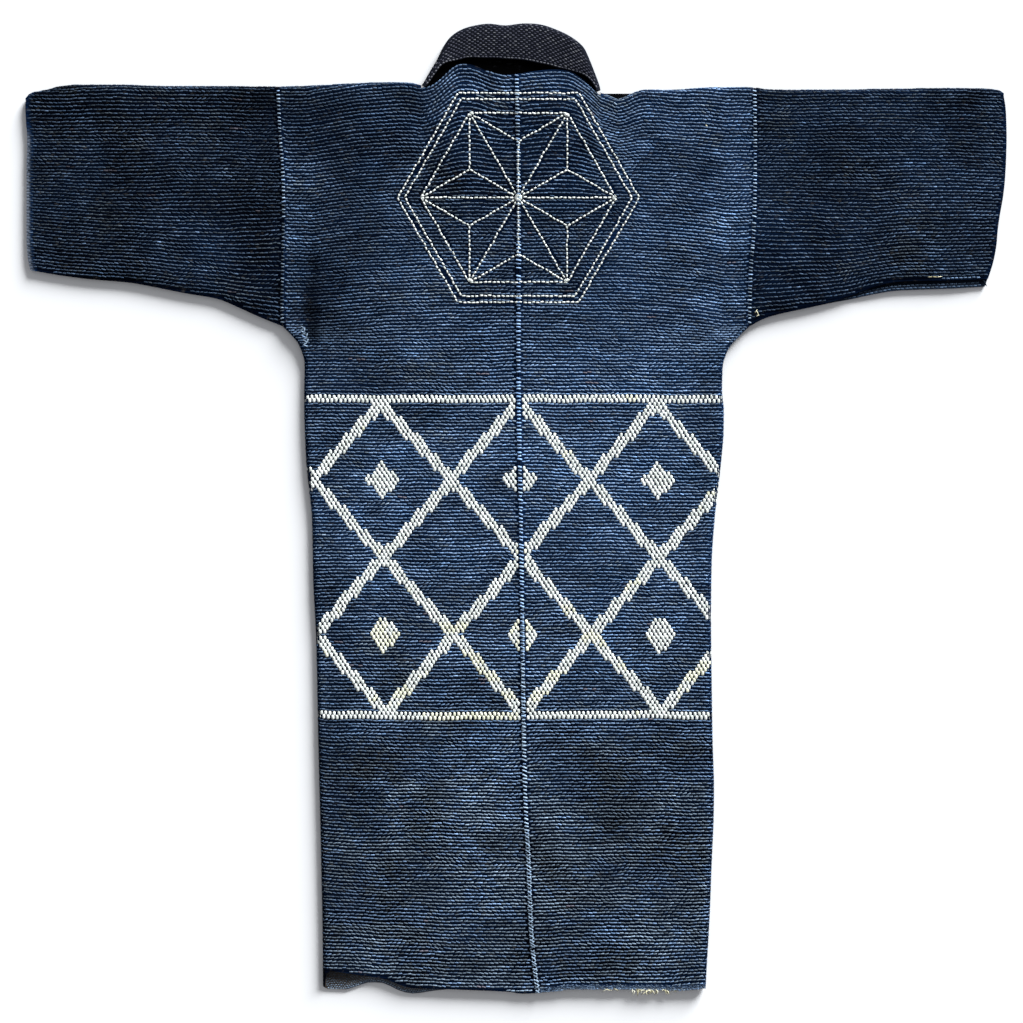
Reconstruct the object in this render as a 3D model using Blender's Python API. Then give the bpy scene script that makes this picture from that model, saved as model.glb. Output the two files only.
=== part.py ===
"""Quilted fireman's coat of indigo cotton, laid flat on the ground with its back up.

+X is to the right as one looks down on the coat, +Y points to its collar, +Z is up.
The origin is on the ground, under the middle of the coat's box.
Tables are in millimetres; the meshes are made in metres.

The coat is cut from narrow loom widths. Each half of the body is one length that runs
from the back hem over the shoulder to the front hem, each sleeve is one width folded
along its top, and the collar is one band. Every piece is a wall of quilted cloth.
"""

import math

import bpy
from mathutils import Vector

MM = 0.001

# ---------------------------------------------------------------- driving dimensions
CLOTH = 3.0          # quilted cotton, several layers stitched through
SEAM_GAP = 0.5       # clear between the edges of two pieces at a seam
GROUND_MID = CLOTH / 2   # middle of the layer that lies on the ground
FOLD_MID = 8.0       # middle of the upper layer where it rolls over a fold
FOLD_R = (FOLD_MID - GROUND_MID) / 2   # radius of a fold at the cloth's middle
FOLD_OUT = FOLD_R + CLOTH / 2          # from a fold's centre to its outline
REST_MID = 6.4       # middle of the upper layer away from the folds
LAPPED_MID = 4.9     # middle of an upper layer that lies right on the one below
COLLAR_BAND = 60.0   # finished width of the collar down the fronts
FALL_MID = 8.2       # middle of the collar's turned-over part near its fold
FALL_EDGE_MID = 5.6  # and at its free edge
QUARTER = FOLD_R * math.pi / 2         # a quarter turn of a fold, along the cloth
ORIGIN = Vector((0.0, 1.8, 0.0))     # the middle of the coat's box, in the tables' frame

# ---------------------------------------------------------------- outline tables
# Centre-back seam: y, x
CENTRE = [(-604, 27.5), (-525, 19.4), (-440, 16.0), (-354, 12.0), (-258, 9.9),
          (-28, 6.9), (175, 3.6), (388, 3.8), (560, 1.0)]
# Side folds of the body below the armpits: y, x
SIDE_LEFT = [(-604, -240.8), (-560, -241.0), (-425, -243.4), (-288, -246.7), (-162, -249.4),
             (-88, -253.0), (-12, -254.6), (62, -261.9), (138, -264.4), (182, -263.8),
             (207, -271.0), (220, -281.5), (229, -290.5)]
SIDE_RIGHT = [(-604, 237.6), (-569, 239.4), (-506, 243.0), (-444, 245.4), (-381, 248.0),
              (-350, 248.4), (-287, 246.6), (-225, 245.6), (-131, 244.6), (-69, 245.4), (-6, 249.6),
              (25, 253.4), (62, 257.4), (100, 260.4), (125, 260.6), (150, 258.4), (178, 259.2),
              (200, 265.4), (219, 281.0), (229, 292.0)]
# Armhole seams: y, x
ARM_LEFT = [(222, -290.6), (251, -291.6), (314, -290.6), (381, -289.6), (426, -290.8),
            (470, -294.2), (532, -296.6)]
ARM_RIGHT = [(222, 292.0), (256, 292.2), (295, 293.4), (346, 297.2), (410, 299.0),
             (461, 299.2), (532, 298.2)]
ARMHOLE_END = 229.0
# How far round the side fold the side seam lies, from the fold's outermost line: y, reach
SEAM_REACH_LEFT = [(-604, 30.0), (-100, 30.0), (62, 26.0), (140, 17.0), (182, 8.0),
                   (207, 2.5), (219, 0.0), (229, 0.0)]
SEAM_REACH_RIGHT = [(-604, 46.0), (-100, 44.0), (62, 32.0), (140, 18.0), (182, 8.0),
                    (207, 2.5), (219, 0.0), (229, 0.0)]
# Tops of the shoulders and sleeves, at the outermost line of the fold: x, y
TOP_LEFT = [(-613, 514.0), (-607, 520.8), (-599, 523.2), (-584, 526.0), (-569, 530.2), (-545, 531.8),
            (-494, 531.6), (-444, 529.8), (-344, 529.6), (-296, 529.4), (-269, 529.8), (-244, 531.2),
            (-219, 532.4), (-194, 534.0), (-144, 534.6), (-131, 534.2), (-123, 532.2), (-118, 531.2)]
TOP_RIGHT = [(105, 521.8), (117, 517.4), (128, 513.2), (135, 514.8), (146, 520.6), (155, 524.4),
             (163, 525.4), (200, 525.4), (215, 526.4), (231, 528.0), (262, 528.6), (285, 528.8),
             (299, 527.8), (314, 525.8), (330, 525.2), (420, 525.4), (450, 526.2), (480, 526.4),
             (512, 527.4), (574, 527.4), (593, 526.8), (601, 525.6), (607, 523.6), (613, 519.0)]
# The back's neck edge: x, y
NECK = [(-118.4, 525.3), (-105, 530.5), (-92, 540.0), (-80, 552.0), (-68, 557.8), (-54, 556.4),
        (-41, 550.8), (-28, 546.2), (-13, 543.8), (4, 545.0), (22, 548.0), (39, 549.9),
        (54, 550.4), (67, 548.4), (82, 539.6), (96, 527.2), (105.4, 517.1)]
# The back's hem: x, y
HEM_BACK = [(-243, -573.8), (-226, -576.0), (-194, -581.0), (-166, -585.0), (-147, -592.0),
            (-129, -596.9), (-77, -598.8), (-7, -602.0), (7, -604.2), (51, -601.0),
            (68, -598.8), (138, -598.8), (206, -600.0), (238, -597.6)]
# The fronts' hem, on the ground: x, y
HEM_FRONT = [(-241, -594.5), (-237, -598.2), (-231, -599.9), (-217, -600.2), (-199, -596.0), (-186, -591.2), (-171, -590.8),
             (-157, -595.2), (-143, -602.0), (-129, -604.8), (-100, -601.0), (-64, -598.0),
             (64, -594.0), (150, -593.5), (215, -594.5), (238, -597.0)]
# Seam of the collar down the fronts: y, left x, right x
FRONT_EDGE = [(-604, -63.0, 63.0), (0, -63.0, 63.0), (150, -67.0, 66.0), (300, -82.0, 76.0),
              (420, -101.0, 89.5), (500, -115.6, 102.0), (532, -117.8, 104.8)]
# Cuffs: y, x
CUFF_LEFT = [(290, -603.0), (298, -605.6), (308, -608.0), (320, -609.8), (337, -610.8),
             (412, -610.8), (431, -610.8), (450, -610.2), (469, -610.2), (480, -611.2), (490, -611.8),
             (506, -612.4), (514, -610.8), (521, -606.6), (535, -598.0)]
CUFF_RIGHT = [(276, 585.6), (284, 588.6), (295, 592.4), (312, 597.4), (332, 601.0), (350, 602.6),
              (369, 605.2), (388, 608.6), (407, 611.0), (426, 612.4), (445, 613.2), (465, 613.6),
              (485, 613.2), (503, 612.2), (513, 610.6), (522, 608.4), (535, 604.0)]
# Bottoms of the sleeves: x, under layer y, upper layer y
BOTTOM_LEFT = [(-613, 300.8, 300.8), (-600, 298.8, 298.8), (-576, 294.6, 294.6), (-536, 289.2, 289.2),
               (-482, 284.4, 284.4), (-454, 279.4, 279.4), (-414, 271.4, 271.4), (-373, 264.2, 264.2),
               (-347, 253.6, 253.6), (-319, 241.0, 241.0), (-290, 229.4, 229.4)]
BOTTOM_RIGHT = [(292, 229.6, 229.6), (315, 241.0, 241.0), (369, 253.6, 253.6), (397, 259.6, 261.0),
                (424, 264.6, 270.2), (438, 268.0, 275.6), (480, 274.8, 285.4), (540, 277.0, 287.2),
                (588, 279.6, 288.8), (612, 281.0, 290.0)]

# Large folds of the upper layer: start x, y, end x, y, half width, height (below 0 is a trough)
FOLDS = [
    (-150, 524, -108, 470, 9, -1.3),
    (-172, 520, -128, 452, 13, 1.2),
    (-96, 520, -60, 486, 15, 1.0),
    (120, 512, 176, 452, 11, -1.4),
    (148, 516, 214, 440, 14, 1.6),
    (-252, 318, -262, 236, 8, -1.3),
    (-238, 300, -222, 214, 15, 1.1),
    (-330, 262, -250, 262, 12, 0.8),
    (232, 312, 282, 252, 16, 1.4),
    (250, 290, 262, 226, 8, -1.0),
    (440, 330, 590, 400, 22, 1.0),
    (-470, 440, -420, 460, 26, 0.7),
    (-404, 300, -360, 330, 20, 0.8),
    (-190, 120, -60, 60, 42, 0.6),
    (60, 180, 180, 100, 44, 0.6),
    (-210, -120, -160, -420, 26, 0.8),
    (-120, -360, -104, -470, 18, -0.7),
    (90, -260, 60, -520, 36, 0.7),
    (190, -60, 210, -460, 22, 0.8),
    (-40, -40, -30, -300, 40, 0.5),
]

# The collar round the back neck, one row a station from the left tip to the right:
# outline x, y, seam edge x, y (hidden under the back), width of the turned-over part
COLLAR_BACK = [
    (-114.0, 536.0, -57.0, 515.0, 6.6),
    (-106.5, 549.5, -55.0, 523.0, 8.0),
    (-98.0, 563.5, -51.0, 529.0, 10.5),
    (-90.2, 579.5, -44.0, 533.0, 24.5),
    (-79.5, 593.2, -36.0, 535.0, 34.6),
    (-62.0, 603.0, -28.0, 537.0, 42.4),
    (-36.0, 608.0, -18.0, 536.5, 44.4),
    (-13.0, 606.0, -7.0, 536.0, 42.4),
    (9.4, 608.4, 4.0, 536.5, 45.6),
    (31.0, 607.2, 14.0, 538.0, 47.8),
    (50.0, 601.2, 22.0, 539.0, 47.0),
    (69.0, 592.0, 28.0, 537.0, 44.8),
    (84.5, 579.5, 34.0, 533.5, 40.0),
    (92.6, 563.5, 39.0, 529.0, 26.6),
    (99.2, 547.0, 43.0, 523.0, 12.5),
    (105.0, 531.5, 46.0, 515.0, 6.6),
]

# ---------------------------------------------------------------- rows and columns
# Heights of the body's rows, from the hem to the start of the shoulder's fold
BODY_ROWS = [-600, -562, -505, -445, -385, -325, -265, -200, -130, -60, 5, 62, 110, 150, 182,
             207, 219, ARMHOLE_END, 252, 290, 335, 380, 425, 462, 492, 508, 520.25]
# Distances of the back's inner columns from the centre seam
NECK_COLUMNS_LEFT = [0, 15, 30, 44, 57, 70, 82, 94, 106, 119.6]
NECK_COLUMNS_RIGHT = [0, 16, 32, 48, 62, 76, 88, 97, 104.2]
# Where the columns between the neck and the side fold lie, as shares of that width
SHOULDER_SHARES_LEFT = [0.22, 0.46, 0.72]
SHOULDER_SHARES_RIGHT = [0.08, 0.145, 0.21, 0.32, 0.62]
# Heights left out on the fronts, which are flat
FRONT_SKIPS = (-562, -445, -325)
SIDE_STEPS = 4       # columns round a side fold
TURN_STEPS = 4       # rows round the shoulder's fold


def curve(table, t, column=1):
    """Smooth value of a table's column at t, with no overshoot between its rows."""
    if t <= table[0][0]:
        return table[0][column]
    if t >= table[-1][0]:
        return table[-1][column]
    k = 0
    while table[k + 1][0] < t:
        k += 1

    def slope(i):
        return (table[i + 1][column] - table[i][column]) / (table[i + 1][0] - table[i][0])

    def tangent(i):
        if i == 0:
            return slope(0)
        if i == len(table) - 1:
            return slope(i - 1)
        a, b = slope(i - 1), slope(i)
        return 0.0 if a * b <= 0 else 2 * a * b / (a + b)

    width = table[k + 1][0] - table[k][0]
    f = (t - table[k][0]) / width
    h00 = (1 + 2 * f) * (1 - f) ** 2
    h10 = f * (1 - f) ** 2
    h01 = f * f * (3 - 2 * f)
    h11 = f * f * (f - 1)
    return (h00 * table[k][column] + h10 * width * tangent(k)
            + h01 * table[k + 1][column] + h11 * width * tangent(k + 1))


def soft(t):
    """0 below 0, 1 above 1, smooth between."""
    t = min(1.0, max(0.0, t))
    return t * t * (3 - 2 * t)


def folds(x, y):
    """Height that the large folds add at a point of the upper layer."""
    total = 0.0
    for x0, y0, x1, y1, half, height in FOLDS:
        dx, dy = x1 - x0, y1 - y0
        length = math.hypot(dx, dy)
        along = ((x - x0) * dx + (y - y0) * dy) / length
        across = ((x - x0) * dy - (y - y0) * dx) / length
        end = 0.45 * length
        reach = soft((along + end * 0.4) / end) * soft((length + end * 0.4 - along) / end)
        total += height * reach * math.exp(-(across / half) ** 2)
    return total


class Point(Vector):
    """A point on the cloth's middle, with the way out of the cloth where that is known."""

    out = None


def point(x, y, z, out=None):
    p = Point((x, y, z))
    p.out = out
    return p


def upper_mid(x, y, from_fold):
    """Middle of the upper layer; from_fold is the distance in from the nearest rolled edge."""
    lift = math.exp(-max(0.0, from_fold) / 20.0)
    z = REST_MID + folds(x, y) * (1 - lift)
    return z + (FOLD_MID - z) * lift


class Body:
    """One half of the body: side is -1 on the left, +1 on the right."""

    def __init__(self, side):
        left = side < 0
        self.side = side
        self.fold = SIDE_LEFT if left else SIDE_RIGHT
        self.arm = ARM_LEFT if left else ARM_RIGHT
        self.reach = SEAM_REACH_LEFT if left else SEAM_REACH_RIGHT
        self.top = TOP_LEFT if left else TOP_RIGHT
        self.neck_columns = NECK_COLUMNS_LEFT if left else NECK_COLUMNS_RIGHT
        self.shares = SHOULDER_SHARES_LEFT if left else SHOULDER_SHARES_RIGHT
        self.front_column = 1 if left else 2

    def centre(self, y):
        """The half's edge at the centre-back seam."""
        return curve(CENTRE, y) + self.side * SEAM_GAP / 2

    def round_side(self, y, q):
        """x and z at q along the cloth from the side fold's outermost line: q < 0 is the back."""
        middle = curve(self.fold, y) - self.side * FOLD_OUT
        if q < -QUARTER:
            return middle + self.side * (q + QUARTER), None
        if q > QUARTER:
            return middle - self.side * (q - QUARTER), GROUND_MID
        turn = q / FOLD_R
        return (middle + self.side * FOLD_R * math.cos(turn),
                GROUND_MID + FOLD_R - FOLD_R * math.sin(turn))

    def out_of_side(self, y, x, z):
        """The way out of the cloth at a point of the side fold, None on the free upper layer."""
        if z is None:
            return None
        middle = curve(self.fold, y) - self.side * FOLD_OUT
        if (x - middle) * self.side <= 0:
            return Vector((0, 0, -1))
        return Vector((x - middle, 0, z - GROUND_MID - FOLD_R)).normalized()

    def is_armhole(self, y):
        return y > ARMHOLE_END - 0.5

    def seam_gap(self, y):
        """The side seam opens a little where it starts, in the crease of the armpit."""
        return SEAM_GAP + 1.2 * soft((y - 150.0) / 50.0)

    def back_x(self, y):
        """x and z (None where the upper layer is free) of each column of the back at y."""
        start = self.centre(y)
        row = [(start + self.side * s, None) for s in self.neck_columns]
        if self.is_armhole(y):
            edge = curve(self.arm, y) - self.side * SEAM_GAP / 2
            roll = edge - self.side * 36.0
            tail = [(roll + self.side * 36.0 * k / (SIDE_STEPS + 1), None) for k in range(SIDE_STEPS + 2)]
        else:
            reach = curve(self.reach, y) - self.seam_gap(y) / 2
            turn_end = min(QUARTER, reach - 1.2)
            qs = [-QUARTER + (turn_end + QUARTER) * k / SIDE_STEPS for k in range(SIDE_STEPS + 1)] + [reach]
            tail = [self.round_side(y, q) for q in qs]
            roll = tail[0][0]
        inner = row[-1][0]
        row += [(inner + (roll - inner) * share, None) for share in self.shares]
        return row + tail

    def front_x(self, y):
        """x and z of each column of the front at y, from the collar's seam to the side seam."""
        edge = curve(FRONT_EDGE, y, self.front_column) + self.side * SEAM_GAP / 2
        if self.is_armhole(y):
            end = curve(self.arm, y) - self.side * SEAM_GAP / 2
            roll = end - self.side * 36.0
            tail = [(roll + self.side * 36.0 * k / (SIDE_STEPS + 1), GROUND_MID) for k in range(SIDE_STEPS + 2)]
        else:
            reach = curve(self.reach, y) + self.seam_gap(y) / 2
            turn_end = max(QUARTER, reach + 1.2)
            qs = [turn_end + (reach - turn_end) * k / SIDE_STEPS for k in range(SIDE_STEPS + 1)]
            tail = [self.round_side(y, turn_end + 6.0)] + [self.round_side(y, q) for q in qs]
            roll = tail[0][0]
        return [(edge, GROUND_MID)] + [(edge + (roll - edge) * share, GROUND_MID) for share in self.shares] + tail

    def back_y(self, row_y, x, in_neck, q=-99.0):
        """A row's height at x, bent to meet the hem and the neck or shoulder. Round the side fold,
        where q tells how far, the hem drops or rises to the front's."""
        turned = soft((q + 8.0) / 10.0)
        hem = curve(HEM_BACK, x) * (1 - turned) + curve(HEM_FRONT, x) * turned + 600.0
        low = 1 - soft((row_y + 600.0) / 150.0)
        if in_neck:
            top = curve(NECK, x) - 520.25
        else:
            top = curve(self.top, x) - FOLD_OUT - 520.25
        high = soft((row_y - 400.0) / 120.25)
        return row_y + hem * low + top * high

    def front_y(self, row_y, x):
        hem = curve(HEM_FRONT, x) + 600.0
        low = 1 - soft((row_y + 600.0) / 150.0)
        top = curve(self.top, x) - FOLD_OUT - 520.25
        high = soft((row_y - 400.0) / 120.25)
        return row_y + hem * low + top * high

    def back_point(self, row_y, j):
        """Column j of the back on a row."""
        neck_side = len(self.neck_columns) - 1
        x, z = self.back_x(row_y)[j]
        step = j - neck_side - len(self.shares) - 1
        y = self.back_y(row_y, x, j < neck_side,
                        -99.0 if step < 0 else -QUARTER + 2 * QUARTER * step / SIDE_STEPS)
        x, z = self.back_x(y if not self.is_armhole(row_y) else max(y, ARMHOLE_END))[j]
        out = self.out_of_side(y, x, z)
        if row_y == ARMHOLE_END and j > neck_side + len(self.shares):
            out = Vector((0, 0, 1))
        if z is None:
            top = curve(self.top, x) - FOLD_OUT
            from_fold = abs(top - y)
            if j < neck_side:
                from_fold = math.hypot(from_fold, abs(x - self.back_x(row_y)[neck_side][0]) * 1.4)
                if y > top - 60:
                    from_fold = abs(x - self.back_x(row_y)[neck_side][0]) * 1.4 + max(0.0, top - y)
            if not self.is_armhole(row_y):
                from_fold = min(from_fold, abs(self.back_x(y)[-SIDE_STEPS - 2][0] - x))
            z = upper_mid(x, y, from_fold)
            if j < neck_side:
                below = curve(NECK, x) - y
                share = soft((abs(x - self.back_x(row_y)[neck_side][0]) - 2.0) / 22.0)
                drop = math.exp(-max(0.0, below) / 16.0) * share
                z += (LAPPED_MID - z) * drop
        return point(x, y, z, out)

    def grid(self):
        """Rows of points round the piece, and which cells of them are cloth."""
        neck_side = len(self.neck_columns) - 1
        columns = neck_side + len(self.shares) + SIDE_STEPS + 3
        rows = []
        for row_y in BODY_ROWS:
            rows.append([self.back_point(row_y, j) for j in range(columns)])
        back_rows = len(rows)
        last = rows[-1]
        for step in range(1, TURN_STEPS):
            turn = math.pi * step / TURN_STEPS
            row = [None] * neck_side
            for p in last[neck_side:]:
                r = (p.z - GROUND_MID) / 2
                row.append(point(p.x, p.y + r * math.sin(turn), GROUND_MID + r + r * math.cos(turn),
                                 Vector((0, math.sin(turn), math.cos(turn)))))
            rows.append(row)
        for row_y in reversed([y for y in BODY_ROWS if y not in FRONT_SKIPS]):
            row = [None] * neck_side
            for j, (x, z) in enumerate(self.front_x(row_y)):
                y = self.front_y(row_y, x)
                out = Vector((0, 0, -1))
                if row_y == BODY_ROWS[-1]:
                    x, y = last[neck_side + j].x, last[neck_side + j].y
                elif not self.is_armhole(row_y):
                    x, z = self.front_x(y)[j]
                    out = self.out_of_side(y, x, z)
                else:
                    x, z = self.front_x(max(y, ARMHOLE_END))[j]
                row.append(point(x, y, z, out))
            rows.append(row)

        def is_cloth(i, j):
            return i < back_rows - 1 or j >= neck_side

        return rows, is_cloth


def sleeve_grid(side):
    """A sleeve as one width of cloth: under layer, fold along the top, upper layer."""
    left = side < 0
    body = Body(side)
    arm = ARM_LEFT if left else ARM_RIGHT
    cuff = CUFF_LEFT if left else CUFF_RIGHT
    top = TOP_LEFT if left else TOP_RIGHT
    bottom = BOTTOM_LEFT if left else BOTTOM_RIGHT
    shares_along = [0, 0.10, 0.22, 0.36, 0.50, 0.64, 0.78, 0.90, 0.965, 1.0]
    # The rows meet the body's rows at the armhole
    edge = curve(arm, 380.0)
    heights = [body.back_y(y, edge, False) for y in BODY_ROWS if y >= ARMHOLE_END]
    shares_under = [(y - heights[0]) / (heights[-1] - heights[0]) for y in heights]
    shares_up = [0, 0.04] + shares_under[1:]

    def place(k, share, column):
        """Plan position: k from the armhole to the cuff, share from the bottom to the fold."""
        y = 400.0
        x = 0.0
        for _ in range(8):
            start = curve(arm, y) + side * SEAM_GAP / 2
            x = start + (curve(cuff, y) - start) * k
            low = curve(bottom, x, column)
            y = low + (curve(top, x) - FOLD_OUT - low) * share
        return x, y, low

    rows = []
    for share in shares_under:
        rows.append([point(*place(k, share, 1)[:2], GROUND_MID, Vector((0, 0, -1))) for k in shares_along])
    ends = rows[-1]
    for step in range(1, TURN_STEPS):
        turn = math.pi * step / TURN_STEPS
        rows.append([point(p.x, p.y + FOLD_R * math.sin(turn), GROUND_MID + FOLD_R - FOLD_R * math.cos(turn),
                           Vector((0, math.sin(turn), -math.cos(turn)))) for p in ends])
    for share in reversed(shares_up):
        row = []
        for k in shares_along:
            x, y, low = place(k, share, 2)
            z = upper_mid(x, y, curve(top, x) - FOLD_OUT - y)
            lapped = 1 - soft((y - low) / 16.0)
            row.append(point(x, y, z + (LAPPED_MID - z) * lapped))
        rows.append(row)
    return rows, lambda i, j: True


def collar_grid():
    """The collar's band: one row of points across it at each station, from hem to hem."""
    steps = 3
    turn_steps = 4
    fall_shares = [0.3, 0.65, 1.0]
    extra = turn_steps + len(fall_shares)
    heights = [y for y in BODY_ROWS if y not in FRONT_SKIPS and y not in (207, 219)][:-2] + [500]
    rows = []
    is_back = []

    def front(y, column):
        side = -1 if column == 1 else 1
        tilt = 12.0 * soft((y - 380) / 120)
        seam = curve(FRONT_EDGE, y + 0.9 * tilt, column) - side * SEAM_GAP / 2
        free = seam - side * COLLAR_BAND
        y_end = y if y > -590 else curve(HEM_FRONT, seam)
        row = []
        for k in range(steps + 1):
            f = k / steps
            row.append(point(free + (seam - free) * f, y_end - tilt * (1 - f) + tilt * f * 0.9, GROUND_MID,
                             Vector((0, 0, -1))))
        return row + [None] * extra

    for y in heights:
        rows.append(front(y, 1))
        is_back.append(False)
    for out_x, out_y, in_x, in_y, fall in COLLAR_BACK:
        inward = Vector((in_x - out_x, in_y - out_y, 0)).normalized()
        rise = (FALL_MID - GROUND_MID) / 2
        turn_at = Vector((out_x, out_y, 0)) + inward * (rise + CLOTH / 2)
        row = []
        for k in range(steps + 1):
            f = k / steps
            p = Vector((in_x, in_y, 0)).lerp(turn_at, f)
            row.append(point(p.x, p.y, GROUND_MID, Vector((0, 0, -1))))
        for step in range(1, turn_steps + 1):
            turn = math.pi * step / turn_steps
            p = turn_at - inward * rise * math.sin(turn)
            row.append(point(p.x, p.y, GROUND_MID + rise - rise * math.cos(turn),
                             -inward * math.sin(turn) - Vector((0, 0, math.cos(turn)))))
        flat = fall - (rise + CLOTH / 2)
        for share in fall_shares:
            p = turn_at + inward * flat * share
            sink = (FALL_MID - FALL_EDGE_MID) * share ** 1.6 * soft(flat / 25.0)
            row.append(point(p.x, p.y, FALL_MID - sink))
        rows.append(row)
        is_back.append(True)
    for y in reversed(heights):
        rows.append(front(y, 2))
        is_back.append(False)

    def is_cloth(i, j):
        return j < steps or (is_back[i] and is_back[i + 1])

    return rows, is_cloth


def wall(name, rows, is_cloth, material):
    """A closed wall of cloth, CLOTH thick, about a grid of points on its middle."""
    cells = [(i, j) for i in range(len(rows) - 1) for j in range(len(rows[0]) - 1)
             if is_cloth(i, j) and None not in (rows[i][j], rows[i][j + 1], rows[i + 1][j], rows[i + 1][j + 1])]
    normals = {}
    for i, j in cells:
        corners = [(i, j), (i, j + 1), (i + 1, j + 1), (i + 1, j)]
        a, b, c, d = (rows[u][v] for u, v in corners)
        n = (c - a).cross(d - b)
        n.normalize()
        for corner in corners:
            normals[corner] = normals.get(corner, Vector((0, 0, 0))) + n
    verts, index = [], {}
    for (i, j), n in normals.items():
        n = n.normalized()
        out = rows[i][j].out
        if out is not None:
            n = out if n.dot(out) > 0 else -out
        for face_side in (1, -1):
            index[i, j, face_side] = len(verts)
            verts.append((rows[i][j] + n * (face_side * CLOTH / 2) - ORIGIN) * MM)
    faces = []
    edges = {}
    for i, j in cells:
        ring = [(i, j), (i, j + 1), (i + 1, j + 1), (i + 1, j)]
        faces.append([index[u, v, 1] for u, v in ring])
        faces.append([index[u, v, -1] for u, v in reversed(ring)])
        for a, b in zip(ring, ring[1:] + ring[:1]):
            edges[a, b] = True
    for a, b in edges:
        if (b, a) not in edges:
            faces.append([index[a[0], a[1], -1], index[b[0], b[1], -1], index[b[0], b[1], 1], index[a[0], a[1], 1]])
    mesh = bpy.data.meshes.new(name)
    mesh.from_pydata([tuple(v) for v in verts], [], faces)
    mesh.validate()
    volume = 0.0
    mesh.calc_loop_triangles()
    for t in mesh.loop_triangles:
        a, b, c = (mesh.vertices[k].co for k in t.vertices)
        volume += a.dot(b.cross(c)) / 6
    if volume < 0:
        mesh.flip_normals()
    mesh.shade_smooth()
    mesh.set_sharp_from_angle(angle=math.radians(50))
    mesh.materials.append(material)
    piece = bpy.data.objects.new(name, mesh)
    bpy.context.scene.collection.objects.link(piece)
    return piece


def cloth_material(name, colour, roughness):
    material = bpy.data.materials.new(name)
    material.use_nodes = True
    shader = material.node_tree.nodes["Principled BSDF"]
    shader.inputs["Base Color"].default_value = (*colour, 1)
    shader.inputs["Roughness"].default_value = roughness
    shader.inputs["Metallic"].default_value = 0.0
    material.diffuse_color = (*colour, 1)
    return material


def main():
    for old in list(bpy.data.objects):
        bpy.data.objects.remove(old)

    indigo = cloth_material("indigo_quilting", (0.030, 0.050, 0.085), 0.9)
    black = cloth_material("black_collar", (0.012, 0.012, 0.015), 0.9)

    coat = bpy.data.objects.new("coat", None)
    bpy.context.scene.collection.objects.link(coat)

    pieces = []
    for name, side in (("body_left", -1), ("body_right", 1)):
        rows, is_cloth = Body(side).grid()
        pieces.append(wall(name, rows, is_cloth, indigo))
    for name, side in (("sleeve_left", -1), ("sleeve_right", 1)):
        rows, is_cloth = sleeve_grid(side)
        pieces.append(wall(name, rows, is_cloth, indigo))
    rows, is_cloth = collar_grid()
    pieces.append(wall("collar", rows, is_cloth, black))
    for piece in pieces:
        piece.parent = coat


main()
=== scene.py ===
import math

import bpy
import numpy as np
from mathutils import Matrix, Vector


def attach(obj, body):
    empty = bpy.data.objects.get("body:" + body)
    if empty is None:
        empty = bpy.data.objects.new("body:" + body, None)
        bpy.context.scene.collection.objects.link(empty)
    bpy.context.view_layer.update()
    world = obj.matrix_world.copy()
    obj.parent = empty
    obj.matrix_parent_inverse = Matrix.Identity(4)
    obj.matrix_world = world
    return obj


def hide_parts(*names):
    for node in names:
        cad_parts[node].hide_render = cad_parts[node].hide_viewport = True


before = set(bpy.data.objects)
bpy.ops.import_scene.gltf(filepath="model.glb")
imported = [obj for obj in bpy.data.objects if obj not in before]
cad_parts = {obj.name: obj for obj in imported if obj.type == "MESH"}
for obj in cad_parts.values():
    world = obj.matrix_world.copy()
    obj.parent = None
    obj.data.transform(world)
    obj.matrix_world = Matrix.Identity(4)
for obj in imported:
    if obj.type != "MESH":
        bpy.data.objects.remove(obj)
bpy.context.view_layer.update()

# The looks of a quilted fireman's coat of indigo cotton, laid flat with its back up.
# Each panel is a closed wall of cloth on a fine grid, and every running stitch on it is a
# small piece of thread. Tables are in millimetres, seen from above: +x right, +y to the
# collar. The meshes are made in metres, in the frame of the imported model.

MM = 0.001
ORIGIN = np.array((0.0, 1.8, 0.0))
rng = np.random.default_rng(7)

# ---------------------------------------------------------------- the coat's own sizes
CLOTH = 3.0
SEAM_GAP = 0.5
GROUND_MID = CLOTH / 2
FOLD_MID = 8.0
FOLD_R = (FOLD_MID - GROUND_MID) / 2
FOLD_OUT = FOLD_R + CLOTH / 2
REST_MID = 6.4
LAPPED_MID = 4.9
COLLAR_BAND = 60.0
FALL_MID = 8.2
FALL_EDGE_MID = 5.6
QUARTER = FOLD_R * math.pi / 2
ARMHOLE_END = 229.0
SKIN = 1.3            # from the cloth's middle to the face that the stitches stand on
SKIN_GROUND = 1.0     # the same where the coat rests on its stitches
ROW_PITCH = 4.3       # between two rows of quilting
STITCH_PITCH = 5.55   # between two stitches of a row

CENTRE = [(-604, 27.5), (-525, 19.4), (-440, 16.0), (-354, 12.0), (-258, 9.9),
          (-28, 6.9), (175, 3.6), (388, 3.8), (560, 1.0)]
SIDE_LEFT = [(-604, -240.8), (-560, -241.0), (-425, -243.4), (-288, -246.7), (-162, -249.4),
             (-88, -253.0), (-12, -254.6), (62, -261.9), (138, -264.4), (182, -263.8),
             (207, -271.0), (220, -281.5), (229, -290.5)]
SIDE_RIGHT = [(-604, 237.6), (-569, 239.4), (-506, 243.0), (-444, 245.4), (-381, 248.0),
              (-350, 248.4), (-287, 246.6), (-225, 245.6), (-131, 244.6), (-69, 245.4), (-6, 249.6),
              (25, 253.4), (62, 257.4), (100, 260.4), (125, 260.6), (150, 258.4), (178, 259.2),
              (200, 265.4), (219, 281.0), (229, 292.0)]
ARM_LEFT = [(222, -290.6), (251, -291.6), (314, -290.6), (381, -289.6), (426, -290.8),
            (470, -294.2), (532, -296.6)]
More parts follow.
